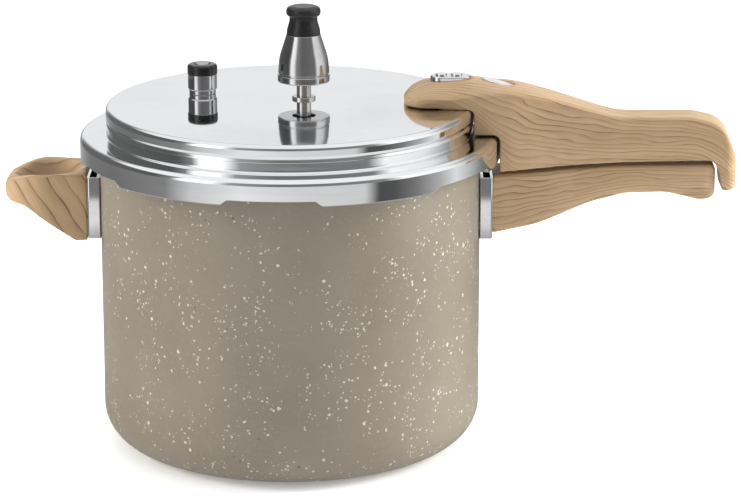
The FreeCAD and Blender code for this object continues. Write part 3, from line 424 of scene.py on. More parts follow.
def sector(name, outline, middle, spread, segments):
    """A closed outline turned through part of a circle, capped at both ends."""
    vertices, faces = [], []
    count = len(outline)
    for step in range(segments + 1):
        angle = middle + spread * (step / segments - 0.5)
        for radius, height in outline:
            vertices.append((radius * math.cos(angle), radius * math.sin(angle), height))
    for step in range(segments):
        for index in range(count):
            after = (index + 1) % count
            faces.append((step * count + index, step * count + after,
                          (step + 1) * count + after, (step + 1) * count + index))
    faces.append(tuple(range(count)))
    faces.append(tuple(segments * count + index for index in range(count)))
    return mesh_from(name, vertices, faces)


def merge(name, parts):
    """Join mesh objects into one piece."""
    shape = bmesh.new()
    for part in parts:
        shape.from_mesh(part.data)
    mesh = bpy.data.meshes.new(name)
    shape.to_mesh(mesh)
    shape.free()
    for material in parts[0].data.materials:
        mesh.materials.append(material)
    for part in parts:
        bpy.data.objects.remove(part)
    return new_mesh_object(name, mesh)


def node_tree(name, inputs):
    """An empty Geometry Nodes tree with a geometry input and output and named inputs."""
    tree = bpy.data.node_groups.new(name, "GeometryNodeTree")
    tree.interface.new_socket(name="Geometry", in_out="INPUT", socket_type="NodeSocketGeometry")
    for label, kind, value in inputs:
        socket = tree.interface.new_socket(name=label, in_out="INPUT", socket_type=kind)
        if value is not None:
            socket.default_value = value
    tree.interface.new_socket(name="Geometry", in_out="OUTPUT", socket_type="NodeSocketGeometry")
    return tree, tree.nodes.new("NodeGroupInput").outputs, tree.nodes.new("NodeGroupOutput").inputs


def end_tree(tree, instances, material, result):
    """Close a tree with Realize Instances and Set Material."""
    real = tree.nodes.new("GeometryNodeRealizeInstances")
    tree.links.new(instances, real.inputs[0])
    paint = tree.nodes.new("GeometryNodeSetMaterial")
    tree.links.new(real.outputs[0], paint.inputs["Geometry"])
    tree.links.new(material, paint.inputs["Material"])
    tree.links.new(paint.outputs[0], result["Geometry"])


def grow(piece, tree, **values):
    """Run a Geometry Nodes tree on a piece and keep its result as a plain mesh."""
    maker = piece.modifiers.new("maker", "NODES")
    maker.node_group = tree
    for item in tree.interface.items_tree:
        label = item.name.replace(" ", "_")
        if item.in_out == "INPUT" and label in values:
            maker[item.identifier] = values[label]
    return settle(piece)


def settle(piece):
    """Apply a piece's modifiers, leaving a plain smooth-shaded mesh."""
    result = bpy.data.meshes.new_from_object(piece.evaluated_get(bpy.context.evaluated_depsgraph_get()))
    piece.modifiers.clear()
    piece.data = result
    for polygon in result.polygons:
        polygon.use_smooth = True
    return piece


def ring_tree():
    """Copies of the given geometry, turned about the upright axis at even angles."""
    tree, given, result = node_tree("ring_of_lugs", [
        ("Count", "NodeSocketInt", LOCK_COUNT), ("First Angle", "NodeSocketFloat", 0.0),
        ("Material", "NodeSocketMaterial", None)])
    places = tree.nodes.new("GeometryNodeMeshLine")
    tree.links.new(given["Count"], places.inputs["Count"])
    places.inputs["Offset"].default_value = (0.0, 0.0, 0.0)
    number = tree.nodes.new("GeometryNodeInputIndex").outputs[0]
    share = math_node(tree, "DIVIDE", number, given["Count"])
    angle = math_node(tree, "ADD", math_node(tree, "MULTIPLY", share, 2 * math.pi), given["First Angle"])
    turn = tree.nodes.new("ShaderNodeCombineXYZ")
    tree.links.new(angle, turn.inputs["Z"])
    copies = tree.nodes.new("GeometryNodeInstanceOnPoints")
    tree.links.new(places.outputs[0], copies.inputs["Points"])
    tree.links.new(given["Geometry"], copies.inputs["Instance"])
    tree.links.new(turn.outputs[0], copies.inputs["Rotation"])
    end_tree(tree, copies.outputs[0], given["Material"], result)
    return tree


LUG_ROOT = POT_RADIUS - 0.0012
lug = sector("lug", rounded([
    (LUG_ROOT, LUG_LOW, 0), (LUG_RADIUS, LUG_LOW, 0.001),
    (LUG_RADIUS, LUG_HIGH, 0.001), (LUG_ROOT, LUG_HIGH, 0)], steps=4), 0.0, LUG_ANGLE, 16)
lugs = grow(lug, ring_tree(), Count=LOCK_COUNT, First_Angle=LOCK_PHASE, Material=taupe)
pot = merge("pot_body", [pot, lugs])


def bare_aluminium():
    """The pot's inside, left bare and finely brushed round and round."""
    material, tree, shader, place = new_finish("bare_aluminium", (0.62, 0.62, 0.63), 0.34, 1.0)
    rings = noise(tree, place, (14.0, 14.0, 1800.0), detail=3.0)
    stain = noise(tree, place, 35.0, detail=5.0, rough=0.6)
    colour = mix_colour(tree, rising(tree, stain, 0.4, 0.75), (0.66, 0.66, 0.67), (0.52, 0.52, 0.53))
    dress(tree, shader, colour, math_node(tree, "MULTIPLY_ADD", rings, 0.18, 0.26), rings, 0.12, 0.00006)
    return material


pot.data.materials.append(bare_aluminium())
SLACK = 0.0001
for face in pot.data.polygons:
    x, y, height = face.center
    within = math.hypot(x, y) < POT_RADIUS - POT_WALL + SLACK and height > BASE_THICKNESS - SLACK
    toward_axis = height > BASE_THICKNESS and face.normal.dot(Vector((-x, -y, 0.02))) > 0
    if within and (toward_axis or face.normal.z > 0.5):
        face.material_index = 1
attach(pot, "root")
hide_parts("pot_shell")

# ------------------------------------------------------------------ brackets
# Each handle stands on an upright box of bent steel strip, polished outside, with painted shade on its inner
# faces:
# near black, as the inside of the box falls dark. Two rivets through the pot wall hold each box.


def polished_metal(name, colour, roughness, streak):
    """Polished metal with faint polishing lines and a breath of handling marks."""
    material, tree, shader, place = new_finish(name, colour, roughness, 1.0)
    lines = noise(tree, place, (40.0, 40.0, 2600.0), detail=2.0)
    marks = noise(tree, place, 60.0, detail=5.0, rough=0.65)
    worn = math_node(tree, "MULTIPLY", rising(tree, marks, 0.5, 0.8), streak)
    rough = math_node(tree, "ADD", math_node(tree, "MULTIPLY_ADD", lines, streak, roughness), worn)
    darker = tuple(part * 0.9 for part in colour)
    colour = mix_colour(tree, rising(tree, marks, 0.4, 0.7), colour, darker)
    dress(tree, shader, colour, rough, lines, 0.04, 0.00005)
    return material


def scaled_steel():
    """Painted shade on the strip's inner faces: near black, as shade falls inside the box, with a cloudy
    tone.
    """
    material, tree, shader, place = new_finish("scaled_steel", (0.03, 0.03, 0.033), 0.55, 0.3)
    cloud = noise(tree, place, 160.0, detail=4.0, rough=0.65)
    colour = mix_colour(tree, cloud, (0.016, 0.016, 0.018), (0.055, 0.055, 0.06))
    dress(tree, shader, colour, math_node(tree, "MULTIPLY_ADD", cloud, 0.25, 0.42), cloud, 0.15, 0.0001)
    return material


painted_inner_shade = scaled_steel()
strip_steel = polished_metal("polished_strip", (0.93, 0.93, 0.93), 0.09, 0.05)
BRACKET_PLATE = 0.0014
BRACKET_SINK = 0.0006


def around(ring):
    """Each corner of a closed ring with the one after it."""
    return zip(ring, ring[1:] + ring[:1])


def box_bracket(name, node):
    """The bent strip, as a round-cornered tube on end, with its edges eased."""
    low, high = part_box(node)
    outward = math.copysign(1.0, low[0] + high[0])
    outer_face = high[0] if outward > 0 else low[0]
    half_width = (high[1] - low[1]) / 2
    loops = []
    for inset, start, corner in ((0.0, -BRACKET_SINK, 0.0014), (BRACKET_PLATE, BRACKET_PLATE, 0.0004)):
        near = outward * (POT_RADIUS + start)
        far = outer_face - outward * inset
        side = half_width - inset
        loops.append(rounded([(near, -side, corner / 2), (far, -side, corner), (far, side, corner),
                              (near, side, corner / 2)], steps=5, guard=0.0002))
    shape = bmesh.new()
    rings = [[[shape.verts.new((x, y, height)) for x, y in loop] for loop in loops]
             for height in (low[2], high[2])]
    for bottom, top in zip(*rings):
        for (low_here, low_next), (top_here, top_next) in zip(around(bottom), around(top)):
            shape.faces.new((low_here, low_next, top_next, top_here)).smooth = True
    for ends in rings:
        edges = [shape.edges.get(pair) for loop in ends for pair in around(loop)]
        bmesh.ops.triangle_fill(shape, edges=edges, use_beauty=True)
    bmesh.ops.recalc_face_normals(shape, faces=shape.faces)
    core = set(rings[0][1] + rings[1][1])
    for face in shape.faces:
        # The inner faces take the second slot, the painted shade inside the box.
        face.material_index = int(core.issuperset(face.verts))
    mesh = bpy.data.meshes.new(name)
    shape.to_mesh(mesh)
    shape.free()
    piece = new_mesh_object(name, mesh)
    ease = piece.modifiers.new("eased", "BEVEL")
    ease.width = 0.00025
    ease.segments = 2
    ease.angle_limit = math.radians(40)
    piece.data.materials.append(strip_steel)
    piece.data.materials.append(painted_inner_shade)
    return piece


for name, node in (("bracket_long", "long_bracket"), ("bracket_short", "short_bracket")):
    bracket = box_bracket(name, node)
    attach(bracket, "root")
    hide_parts(node)


def rivet_tree():
    """A row of rivets, each a shank with a domed head and a smaller upset end."""
    tree, given, result = node_tree("rivet_row", [
        ("Count", "NodeSocketInt", 2), ("Pitch", "NodeSocketFloat", 0.018),
        ("Shank Radius", "NodeSocketFloat", 0.0024), ("Shank Length", "NodeSocketFloat", 0.005),
        ("Head Radius", "NodeSocketFloat", 0.0046), ("Head Height", "NodeSocketFloat", 0.0015),
        ("End Radius", "NodeSocketFloat", 0.0036), ("End Height", "NodeSocketFloat", 0.001),
        ("Material", "NodeSocketMaterial", None)])
    shank = tree.nodes.new("GeometryNodeMeshCylinder")
    shank.inputs["Vertices"].default_value = 24
    tree.links.new(given["Shank Radius"], shank.inputs["Radius"])
    tree.links.new(given["Shank Length"], shank.inputs["Depth"])
    parts = tree.nodes.new("GeometryNodeJoinGeometry")
    tree.links.new(shank.outputs["Mesh"], parts.inputs[0])
    half = math_node(tree, "MULTIPLY", given["Shank Length"], 0.5)
    for radius, height, side in ((given["Head Radius"], given["Head Height"], 1.0),
                                 (given["End Radius"], given["End Height"], -1.0)):
        ball = tree.nodes.new("GeometryNodeMeshUVSphere")
        ball.inputs["Segments"].default_value = 28
        ball.inputs["Rings"].default_value = 14
        ball.inputs["Radius"].default_value = 1.0
        size = tree.nodes.new("ShaderNodeCombineXYZ")
        tree.links.new(radius, size.inputs["X"])
        tree.links.new(radius, size.inputs["Y"])
        tree.links.new(height, size.inputs["Z"])
        spot = tree.nodes.new("ShaderNodeCombineXYZ")
        tree.links.new(math_node(tree, "MULTIPLY", half, side), spot.inputs["Z"])
        place = tree.nodes.new("GeometryNodeTransform")
        tree.links.new(ball.outputs["Mesh"], place.inputs["Geometry"])
        tree.links.new(size.outputs[0], place.inputs["Scale"])
        tree.links.new(spot.outputs[0], place.inputs["Translation"])
        tree.links.new(place.outputs[0], parts.inputs[0])
    step = tree.nodes.new("ShaderNodeCombineXYZ")
    tree.links.new(given["Pitch"], step.inputs["X"])
    row = tree.nodes.new("GeometryNodeMeshLine")
    tree.links.new(given["Count"], row.inputs["Count"])
    tree.links.new(step.outputs[0], row.inputs["Offset"])
    copies = tree.nodes.new("GeometryNodeInstanceOnPoints")
    tree.links.new(row.outputs[0], copies.inputs["Points"])
    tree.links.new(parts.outputs[0], copies.inputs["Instance"])
    end_tree(tree, copies.outputs[0], given["Material"], result)
    return tree


rivets = rivet_tree()


def rivet_row(name, material, first, along, outward, **sizes):
    """A row of rivets from a first place, running along one way, heads facing another."""
    piece = grow(new_mesh_object(name, bpy.data.meshes.new(name)), rivets, Material=material, **sizes)
    along, outward = Vector(along), Vector(outward)
    turn = Matrix((along, outward.cross(along), outward)).transposed().to_4x4()
    piece.data.transform(Matrix.Translation(first) @ turn)
    return piece


plain_steel = polished_metal("plain_steel", (0.56, 0.56, 0.57), 0.28, 0.12)
RIVET_PITCH = 0.018
RIVET_SHANK = 0.0024
RIVET_HEAD = 0.0046
RIVET_END = 0.0036
RIVET_CROWN = 0.0015
for name, node, side in (("rivets_long", "long_bracket_rivets", -1),
                         ("rivets_short", "short_bracket_rivets", 1)):
    low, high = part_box(node)
    inner_end = low[0] if side < 0 else high[0]
    outer_end = high[0] if side < 0 else low[0]
    shank = abs(outer_end - inner_end) - 2 * RIVET_CROWN
    first = ((inner_end + outer_end) / 2, 0.0, low[2] + (high[2] - low[2] - RIVET_PITCH) / 2)
    row = rivet_row(name, plain_steel, first, (0, 0, 1), (side, 0, 0), Count=2, Pitch=RIVET_PITCH,
                    Shank_Radius=RIVET_SHANK, Shank_Length=shank, Head_Radius=RIVET_HEAD,
                    Head_Height=RIVET_CROWN, End_Radius=RIVET_END, End_Height=RIVET_CROWN)
    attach(row, "root")
    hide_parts(node)


def refinish(node, material):
    """Give a carried-over CAD node a finished material."""
    for material_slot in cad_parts[node].material_slots:
        material_slot.material = material


for node in ("lower_handle_bolt", "helper_handle_bolt", "lid_strap", "weight_stud"):
    refinish(node, plain_steel)

# ------------------------------------------------------------------ wood-look handles
# Phenolic mouldings, film-printed with a long flowing wood grain and left satin. Each has softly
# rounded edges. The grain runs with the moulding, so it is laid along its length and height.


def grain_group():
    """Wood grain: long dark lines that wander, broad tone bands and fine fibre."""
    tree, given, result = new_group("wood_grain", [
        ("Flow", "NodeSocketVector", None), ("Pale", "NodeSocketColor", (0.5, 0.37, 0.24, 1)),
        ("Deep", "NodeSocketColor", (0.36, 0.25, 0.15, 1)),
        ("Line", "NodeSocketColor", (0.15, 0.09, 0.05, 1)),
        ("Line Strength", "NodeSocketFloat", 0.8), ("Spacing", "NodeSocketFloat", 260.0)],
        [("Color", "NodeSocketColor"), ("Height", "NodeSocketFloat"), ("Lines", "NodeSocketFloat")])
    flow = given["Flow"]
    sway = noise(tree, flow, (16.0, 45.0, 30.0), detail=2.0)
    ripple = noise(tree, flow, (55.0, 120.0, 60.0), detail=2.0)
    presence = noise(tree, flow, (9.0, 260.0, 70.0), detail=2.0)
    broad = noise(tree, flow, (7.0, 130.0, 50.0), detail=3.0)
    fibre = noise(tree, flow, (45.0, 1500.0, 700.0), detail=3.0, rough=0.6)
    parts = tree.nodes.new("ShaderNodeSeparateXYZ")
    link(tree, flow, parts.inputs[0])
    layer = math_node(tree, "MULTIPLY_ADD", parts.outputs["Z"], 0.55, parts.outputs["Y"])
    for wander, reach in ((sway, 0.020), (ripple, 0.0022)):
        layer = math_node(tree, "ADD", layer, math_node(tree, "MULTIPLY", wander, reach))
    phase = math_node(tree, "FRACT", math_node(tree, "MULTIPLY", layer, given["Spacing"]))
    line = math_node(tree, "MULTIPLY", rising(tree, phase, 0.80, 0.93), rising(tree, phase, 1.0, 0.95))
    line = math_node(tree, "MULTIPLY", line, rising(tree, presence, 0.34, 0.66))
    shade = math_node(tree, "MULTIPLY", rising(tree, phase, 0.25, 0.95), rising(tree, phase, 1.0, 0.96))
    tone = math_node(tree, "ADD", math_node(tree, "MULTIPLY", rising(tree, broad, 0.3, 0.7), 0.45),
                     math_node(tree, "MULTIPLY", shade, 0.40))
    fuzz = math_node(tree, "MULTIPLY", math_node(tree, "SUBTRACT", fibre, 0.5), 0.50)
    tone = math_node(tree, "ADD", tone, fuzz, clamp=True)
    colour = mix_colour(tree, tone, given["Pale"], given["Deep"])
    ink = math_node(tree, "MULTIPLY", line, given["Line Strength"])
    colour = mix_colour(tree, ink, colour, given["Line"])
    link(tree, colour, result["Color"])
    link(tree, math_node(tree, "SUBTRACT", math_node(tree, "MULTIPLY", fibre, 0.3), line), result["Height"])
    link(tree, line, result["Lines"])
    return tree


wood_grain = grain_group()


def wood_look(name, spacing, strength):
    """The printed wood grain under a satin skin, laid along the stored grain flow."""
    material, tree, shader, place = new_finish(name, (0.4, 0.3, 0.2), 0.42, Specular_IOR_Level=0.35)
    flow = tree.nodes.new("ShaderNodeAttribute")
    flow.attribute_name = "grain_flow"
    grain = use_group(tree, wood_grain, Flow=flow.outputs["Vector"], Pale=(0.520, 0.360, 0.208),
                      Deep=(0.330, 0.208, 0.106), Line=(0.125, 0.070, 0.033), Line_Strength=strength,
                      Spacing=spacing)
    wear = rising(tree, noise(tree, place, 45.0, detail=3.0), 0.45, 0.75)
    colour = mix_colour(tree, math_node(tree, "MULTIPLY", wear, 0.3), grain["Color"], (0.52, 0.385, 0.25))
    roughness = math_node(tree, "MULTIPLY_ADD", grain["Lines"], 0.18, 0.40)
    dress(tree, shader, colour, roughness, grain["Height"], 0.25, 0.00012)
    return material


def moulded_copy(name, node, voxel, rounds):
    """The CAD node's form with its edges melted round, as a fine even mesh."""
    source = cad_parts[node]
    shape = bmesh.new()
    shape.from_mesh(source.data)
    bmesh.ops.remove_doubles(shape, verts=shape.verts, dist=1e-6)
    mesh = bpy.data.meshes.new(name)
    shape.to_mesh(mesh)
    shape.free()
    piece = new_mesh_object(name, mesh)
    cast = piece.modifiers.new("cast", "REMESH")
    cast.mode = "VOXEL"
    cast.voxel_size = voxel
    soften = piece.modifiers.new("soften", "SMOOTH")
    soften.factor = 0.5
    soften.iterations = rounds
    return settle(piece)


def vertex_values(piece, kind="co"):
    """The places ("co") or normals ("normal") of a piece's vertices, one row each."""
    flat = np.empty(len(piece.data.vertices) * 3)
    piece.data.vertices.foreach_get(kind, flat)
    return flat.reshape(-1, 3)


def move_vertices(piece, places):
    """Put a piece's vertices where the rows of places say."""
    piece.data.vertices.foreach_set("co", places.ravel())
    piece.data.update()


def store_flow(piece, flow):
    """Keep the grain's own coordinates with the vertices."""
    attribute = piece.data.attributes.new("grain_flow", "FLOAT_VECTOR", "POINT")
    attribute.data.foreach_set("vector", flow.astype(np.float32).ravel())


def smoothed(edge, reach):
    """A row of heights averaged over reach neighbours on each side."""
    width = 2 * reach + 1
    return np.convolve(np.pad(edge, reach, mode="edge"), np.ones(width) / width, mode="valid")


def lay_grain(piece, step, span):
    """Store where each vertex lies along the moulding and between its lower and upper edges."""
    places = vertex_values(piece)
    along = (places[:, 0] - places[:, 0].min()) / step
    bins = along.astype(int)
    low = np.full(bins.max() + 1, np.inf)
    high = np.full(bins.max() + 1, -np.inf)
    np.minimum.at(low, bins, places[:, 2])
    np.maximum.at(high, bins, places[:, 2])
    for _ in range(3):
        low = smoothed(low, 9)
        high = smoothed(high, 4)
    middles = np.arange(len(low)) + 0.5
    low_edge = np.interp(along, middles, low)
    high_edge = np.interp(along, middles, high)
    share = (places[:, 2] - low_edge) / np.maximum(high_edge - low_edge, step)
    store_flow(piece, np.column_stack([places[:, 0], share * span, places[:, 1]]))


def crown(piece, above, drop, half_width):
    """Lower the upper surface towards its sides, so that the top is gently crowned."""
    places = vertex_values(piece)
    top = places[:, 2].max()
    lift = np.clip((places[:, 2] - above) / (top - above), 0, 1)
    places[:, 2] -= drop * lift * (np.abs(places[:, 1]) / half_width) ** 2
    move_vertices(piece, places)


long_grain = wood_look("wood_look_long", 300.0, 0.90)
short_grain = wood_look("wood_look_short", 130.0, 0.85)
GRAIN_STEP = 0.001

lower_grip = moulded_copy("grip_lower", "lower_handle", voxel=0.0008, rounds=6)
lay_grain(lower_grip, GRAIN_STEP, span=0.030)
lower_grip.data.materials.clear()
lower_grip.data.materials.append(long_grain)
lower_grip.visible_glossy = False
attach(lower_grip, "root")
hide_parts("lower_handle")


def dish(piece, middle, across, deep, floor_level):
    """Hollow out the upper side inside an ellipse, and note how far in each vertex lies."""
    places = vertex_values(piece)
    normals = vertex_values(piece, "normal")
    reach = np.hypot((places[:, 0] - middle[0]) / across[0], (places[:, 1] - middle[1]) / across[1])
    inside = np.clip((1.0 - reach) / 0.35, 0, 1)
    inside = inside * inside * (3 - 2 * inside)
    upper = (places[:, 2] > floor_level) & (normals[:, 2] > 0.0)
    places[:, 2] -= np.where(upper, deep * inside, 0.0)
    move_vertices(piece, places)
    # How far in each vertex lies, kept as the mask for the painted shade in the dish.
    attribute = piece.data.attributes.new("hollow", "FLOAT", "POINT")
    attribute.data.foreach_set("value", np.where(upper, inside, 0.0).astype(np.float32))
    return places, normals


SIDE_GRAIN_TOP = 0.166


def carve_flow(piece, places, normals):
    """Grain that runs lengthwise on the top, and steeply down the sides."""
    lengthwise = np.column_stack([places[:, 0], places[:, 1] * 0.8, places[:, 2]])
    across = places[:, 0] * 0.75 - (SIDE_GRAIN_TOP - places[:, 2]) * 0.42
    steep = np.column_stack([places[:, 2] * 1.3, across, places[:, 1] * 0.2])
    share = np.clip((normals[:, 2] - 0.35) / 0.25, 0, 1)[:, None]
    store_flow(piece, steep * (1 - share) + lengthwise * share)


helper_grip = moulded_copy("grip_helper", "helper_handle", voxel=0.0007, rounds=4)
helper_low, helper_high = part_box("helper_handle")
DISH_MIDDLE = (helper_low[0] + 0.0265, 0.0)
DISH_HALF = (0.0215, 0.0205)
DISH_DEPTH = 0.0065
helper_shape = dish(helper_grip, DISH_MIDDLE, DISH_HALF, DISH_DEPTH, helper_high[2] - 0.012)
carve_flow(helper_grip, *helper_shape)

# Painted shade: inside the dish the colour is mixed toward a deep brown, as if the scoop lay in shadow, over
# this handle's grain.
dish_tree = short_grain.node_tree
hollow = dish_tree.nodes.new("ShaderNodeAttribute")
hollow.attribute_name = "hollow"
grain_and_shade_colour = dish_tree.nodes["Principled BSDF"].inputs["Base Color"]
# The painted shade's strength, from the dish mask.
painted_dish_shade = math_node(dish_tree, "MULTIPLY", hollow.outputs["Fac"], 0.75)
link(dish_tree, mix_colour(dish_tree, painted_dish_shade, grain_and_shade_colour.links[0].from_socket, (0.30, 0.20, 0.11)), grain_and_shade_colour)
helper_grip.data.materials.clear()
helper_grip.data.materials.append(short_grain)
helper_grip.visible_glossy = False
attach(helper_grip, "root")
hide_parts("helper_handle")

# ------------------------------------------------------------------ gasket
# A moulded ring of grey silicone rubber with a lip above and below, lying between rim and flange.


def rubber(name, colour):
    """Moulded rubber with a bloom of pale dust."""
    material, tree, shader, place = new_finish(name, colour, 0.7)
    dust = noise(tree, place, 240.0, detail=4.0, rough=0.7)
    paler = tuple(part * 1.6 + 0.01 for part in colour)
    colour = mix_colour(tree, rising(tree, dust, 0.45, 0.8), colour, paler)
    dress(tree, shader, colour, math_node(tree, "MULTIPLY_ADD", dust, 0.2, 0.58), dust, 0.2, 0.0001)
    return material


seal_rubber = rubber("seal_rubber", (0.16, 0.16, 0.17))
gasket_low, gasket_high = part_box("sealing_gasket")
GASKET_OUT = gasket_high[0]
GASKET_IN = GASKET_OUT - 0.012
GASKET_LIP = 0.0015
GASKET_WEB = 0.003
gasket = lathe("gasket_ring", rounded([
    (GASKET_IN, gasket_low[2], 0.0003),
    (GASKET_OUT, gasket_low[2], 0.0006),
    (GASKET_OUT, gasket_high[2], 0.0006),
    (GASKET_IN, gasket_high[2], 0.0003),
    (GASKET_IN, gasket_high[2] - GASKET_LIP, 0.0003),
    (GASKET_OUT - GASKET_WEB, gasket_high[2] - GASKET_LIP, 0.0004),
    (GASKET_OUT - GASKET_WEB, gasket_low[2] + GASKET_LIP, 0.0004),
    (GASKET_IN, gasket_low[2] + GASKET_LIP, 0.0003),
], steps=3, guard=0.0002), seal_rubber)
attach(gasket, "seal")
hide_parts("sealing_gasket")
for node in ("vent_washer", "relief_washer"):
    refinish(node, seal_rubber)

# ------------------------------------------------------------------ lid
# Spun and pressed aluminium, mirror polished: a flat crown on a low wall with one crease, a flat
# flange, and a skirt whose six deeper lobes turn in below the lugs of the pot.

lid_low, lid_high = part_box("lid_shell")
LID_TOP = lid_high[2]
LOBE_BOTTOM = lid_low[2]
SKIRT_RADIUS = lid_high[0]
SHEET = 0.0025
FLANGE_TOP = LOBE_BOTTOM + 0.0156
LOBE_STEP = 0.0031
LOBE_TOP = FLANGE_TOP - 0.0075
LIP_RADIUS = POT_RADIUS + 0.0025
CROWN_RADIUS = POT_RADIUS - 0.004
CROWN_FOOT = CROWN_RADIUS - 0.0012
LOBE_ANGLE = math.radians(35)
STEP_ANGLE = math.radians(2.4)
CREASE_DEPTH = 0.0009


def mirror_aluminium():
    """Mirror-polished aluminium with faint smears and the slight waves of spun sheet."""
    material, tree, shader, place = new_finish("mirror_aluminium", (0.88, 0.885, 0.89), 0.045, 1.0)
    smear = rising(tree, noise(tree, place, (9.0, 9.0, 120.0), detail=4.0, rough=0.6), 0.4, 0.75)
    wave = noise(tree, place, (26.0, 26.0, 110.0), detail=1.0)
    fine = noise(tree, place, (220.0, 220.0, 1500.0), detail=2.0)
    relief = math_node(tree, "ADD", wave, math_node(tree, "MULTIPLY", fine, 0.05))
    colour = mix_colour(tree, smear, (0.90, 0.905, 0.91), (0.80, 0.81, 0.825))
    dress(tree, shader, colour, math_node(tree, "MULTIPLY_ADD", smear, 0.06, 0.035), relief, 0.10, 0.0009)
    return material


lid_outline = rounded([
    (0.0, LID_TOP, 0),
    (CROWN_RADIUS, LID_TOP, 0.0028),
    (CROWN_RADIUS, LID_TOP - 0.0062, 0.0012),
    (CROWN_RADIUS - CREASE_DEPTH, LID_TOP - 0.0080, 0.0014),
    (CROWN_RADIUS - 0.0002, LID_TOP - 0.0098, 0.0012),
    (CROWN_FOOT, FLANGE_TOP, 0.0014),
    (SKIRT_RADIUS, FLANGE_TOP, 0.0034),
    (SKIRT_RADIUS, LOBE_BOTTOM, 0.0009),
    (LIP_RADIUS, LOBE_BOTTOM, 0.0004),
    (LIP_RADIUS, LOBE_BOTTOM + SHEET, 0.0004),
    (SKIRT_RADIUS - SHEET, LOBE_BOTTOM + SHEET, 0.0006),
    (SKIRT_RADIUS - SHEET, FLANGE_TOP - SHEET, 0.001),
    (CROWN_FOOT - SHEET, FLANGE_TOP - SHEET, 0.003),
    (CROWN_RADIUS - SHEET, LID_TOP - SHEET, 0.001),
    (0.0, LID_TOP - SHEET, 0),
], steps=6, guard=0.0003)


def lobe_share(angle):
    """1 in a lobe, 0 in the raised stretch between two lobes, with a short slope between."""
    period = 2 * math.pi / LOCK_COUNT
    off = abs((angle - LOCK_PHASE + period / 2) % period - period / 2)
    share = (LOBE_ANGLE / 2 + STEP_ANGLE / 2 - off) / STEP_ANGLE
    share = min(max(share, 0.0), 1.0)
    return share * share * (3 - 2 * share)


def lobed_lid(name, outline, segments):
    """Turn the lid's outline, raising its skirt and drawing back its lip between the lobes."""
    vertices, faces = [], []
    inner = outline[1:-1]
    count = len(inner)
    for step in range(segments):
        angle = 2 * math.pi * step / segments
        gap = 1 - lobe_share(angle)
        for radius, height in inner:
            below = (LOBE_TOP - height) / (LOBE_TOP - LOBE_BOTTOM)
            if below > 0:
                height += LOBE_STEP * gap * min(below, 1.0)
                if radius < SKIRT_RADIUS - SHEET:
                    radius += (SKIRT_RADIUS - SHEET - radius) * gap
            vertices.append((radius * math.cos(angle), radius * math.sin(angle), height))
    top_pole, low_pole = len(vertices), len(vertices) + 1
    vertices += [(0, 0, outline[0][1]), (0, 0, outline[-1][1])]
    for step in range(segments):
        here, there = step * count, (step + 1) % segments * count
        for index in range(count - 1):
            faces.append((here + index, here + index + 1, there + index + 1, there + index))
        faces.append((top_pole, here, there))
        faces.append((low_pole, there + count - 1, here + count - 1))
    return mesh_from(name, vertices, faces)


lid = lobed_lid("lid_body", lid_outline, 720)
lid.data.materials.append(mirror_aluminium())
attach(lid, "lid")
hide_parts("lid_shell")

# ------------------------------------------------------------------ upper half of the long handle
# The same wood-look moulding, saddled over the lid's flange, with a hook that closes over the end
# of the lower half. A bright oval plate with two screws and a blank inlay are let into its top.

TONGUE_HEIGHT = 0.016
TONGUE_LIFT = 0.0058
TONGUE_UNDERSIDE = 0.026
LIP_GAP = 0.0005
LIP_EDGE = 0.003
TIP_THINNING = 0.50
SIDE_THINNING = 0.45


def lay_lips(piece):
    """Draw the tongue's rim down round the strap until it all but touches the lid."""
    strap_near, strap_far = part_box("lid_strap")
    places = vertex_values(piece)
    tip = places[:, 0].min()
    lift = TONGUE_LIFT - (TONGUE_LIFT + 0.001) * (places[:, 0] - tip) / TONGUE_UNDERSIDE
    lift = np.maximum(lift, LIP_GAP)
    height = places[:, 2] - LID_TOP
    lowered = LIP_GAP + (height - lift) * (TONGUE_HEIGHT - LIP_GAP) / (TONGUE_HEIGHT - lift)
    beside = np.clip((np.abs(places[:, 1]) - strap_far[1] - 0.001) / LIP_EDGE, 0, 1)
    before = np.clip((strap_near[0] - 0.001 - places[:, 0]) / LIP_EDGE, 0, 1)
    share = np.maximum(beside, before) * (height > -LIP_GAP) * (places[:, 0] < tip + TONGUE_UNDERSIDE)
    places[:, 2] += share * (lowered - height)
    move_vertices(piece, places)


def dome_tongue(piece):
    """Thin the tongue out towards its tip and its sides, but leave the seat of the plate as it is."""
    plate_near, plate_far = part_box("handle_plate")
    places = vertex_values(piece)
    tip = places[:, 0].min()
    along = np.clip((places[:, 0] - tip) / (plate_near[0] - 0.001 - tip), 0, 1)
    aside = np.clip((np.abs(places[:, 1]) - plate_far[1] - 0.001) / 0.012, 0, 1)
    onward = np.clip((tip + 0.060 - places[:, 0]) / 0.030, 0, 1)
    thinned = (1 - TIP_THINNING * (1 - along) ** 2) * (1 - SIDE_THINNING * aside ** 1.6 * onward)
    height = places[:, 2] - LID_TOP - LIP_GAP
    places[:, 2] += np.where(height > 0, height * (thinned - 1), 0)
    move_vertices(piece, places)


upper_grip = moulded_copy("grip_upper", "upper_handle", voxel=0.0008, rounds=5)
lay_lips(upper_grip)
dome_tongue(upper_grip)
crown(upper_grip, above=LID_TOP + 0.004, drop=0.0035, half_width=0.020)
lay_grain(upper_grip, GRAIN_STEP, span=0.036)
upper_grip.data.materials.clear()
upper_grip.data.materials.append(long_grain)
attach(upper_grip, "lid")
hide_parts("upper_handle")

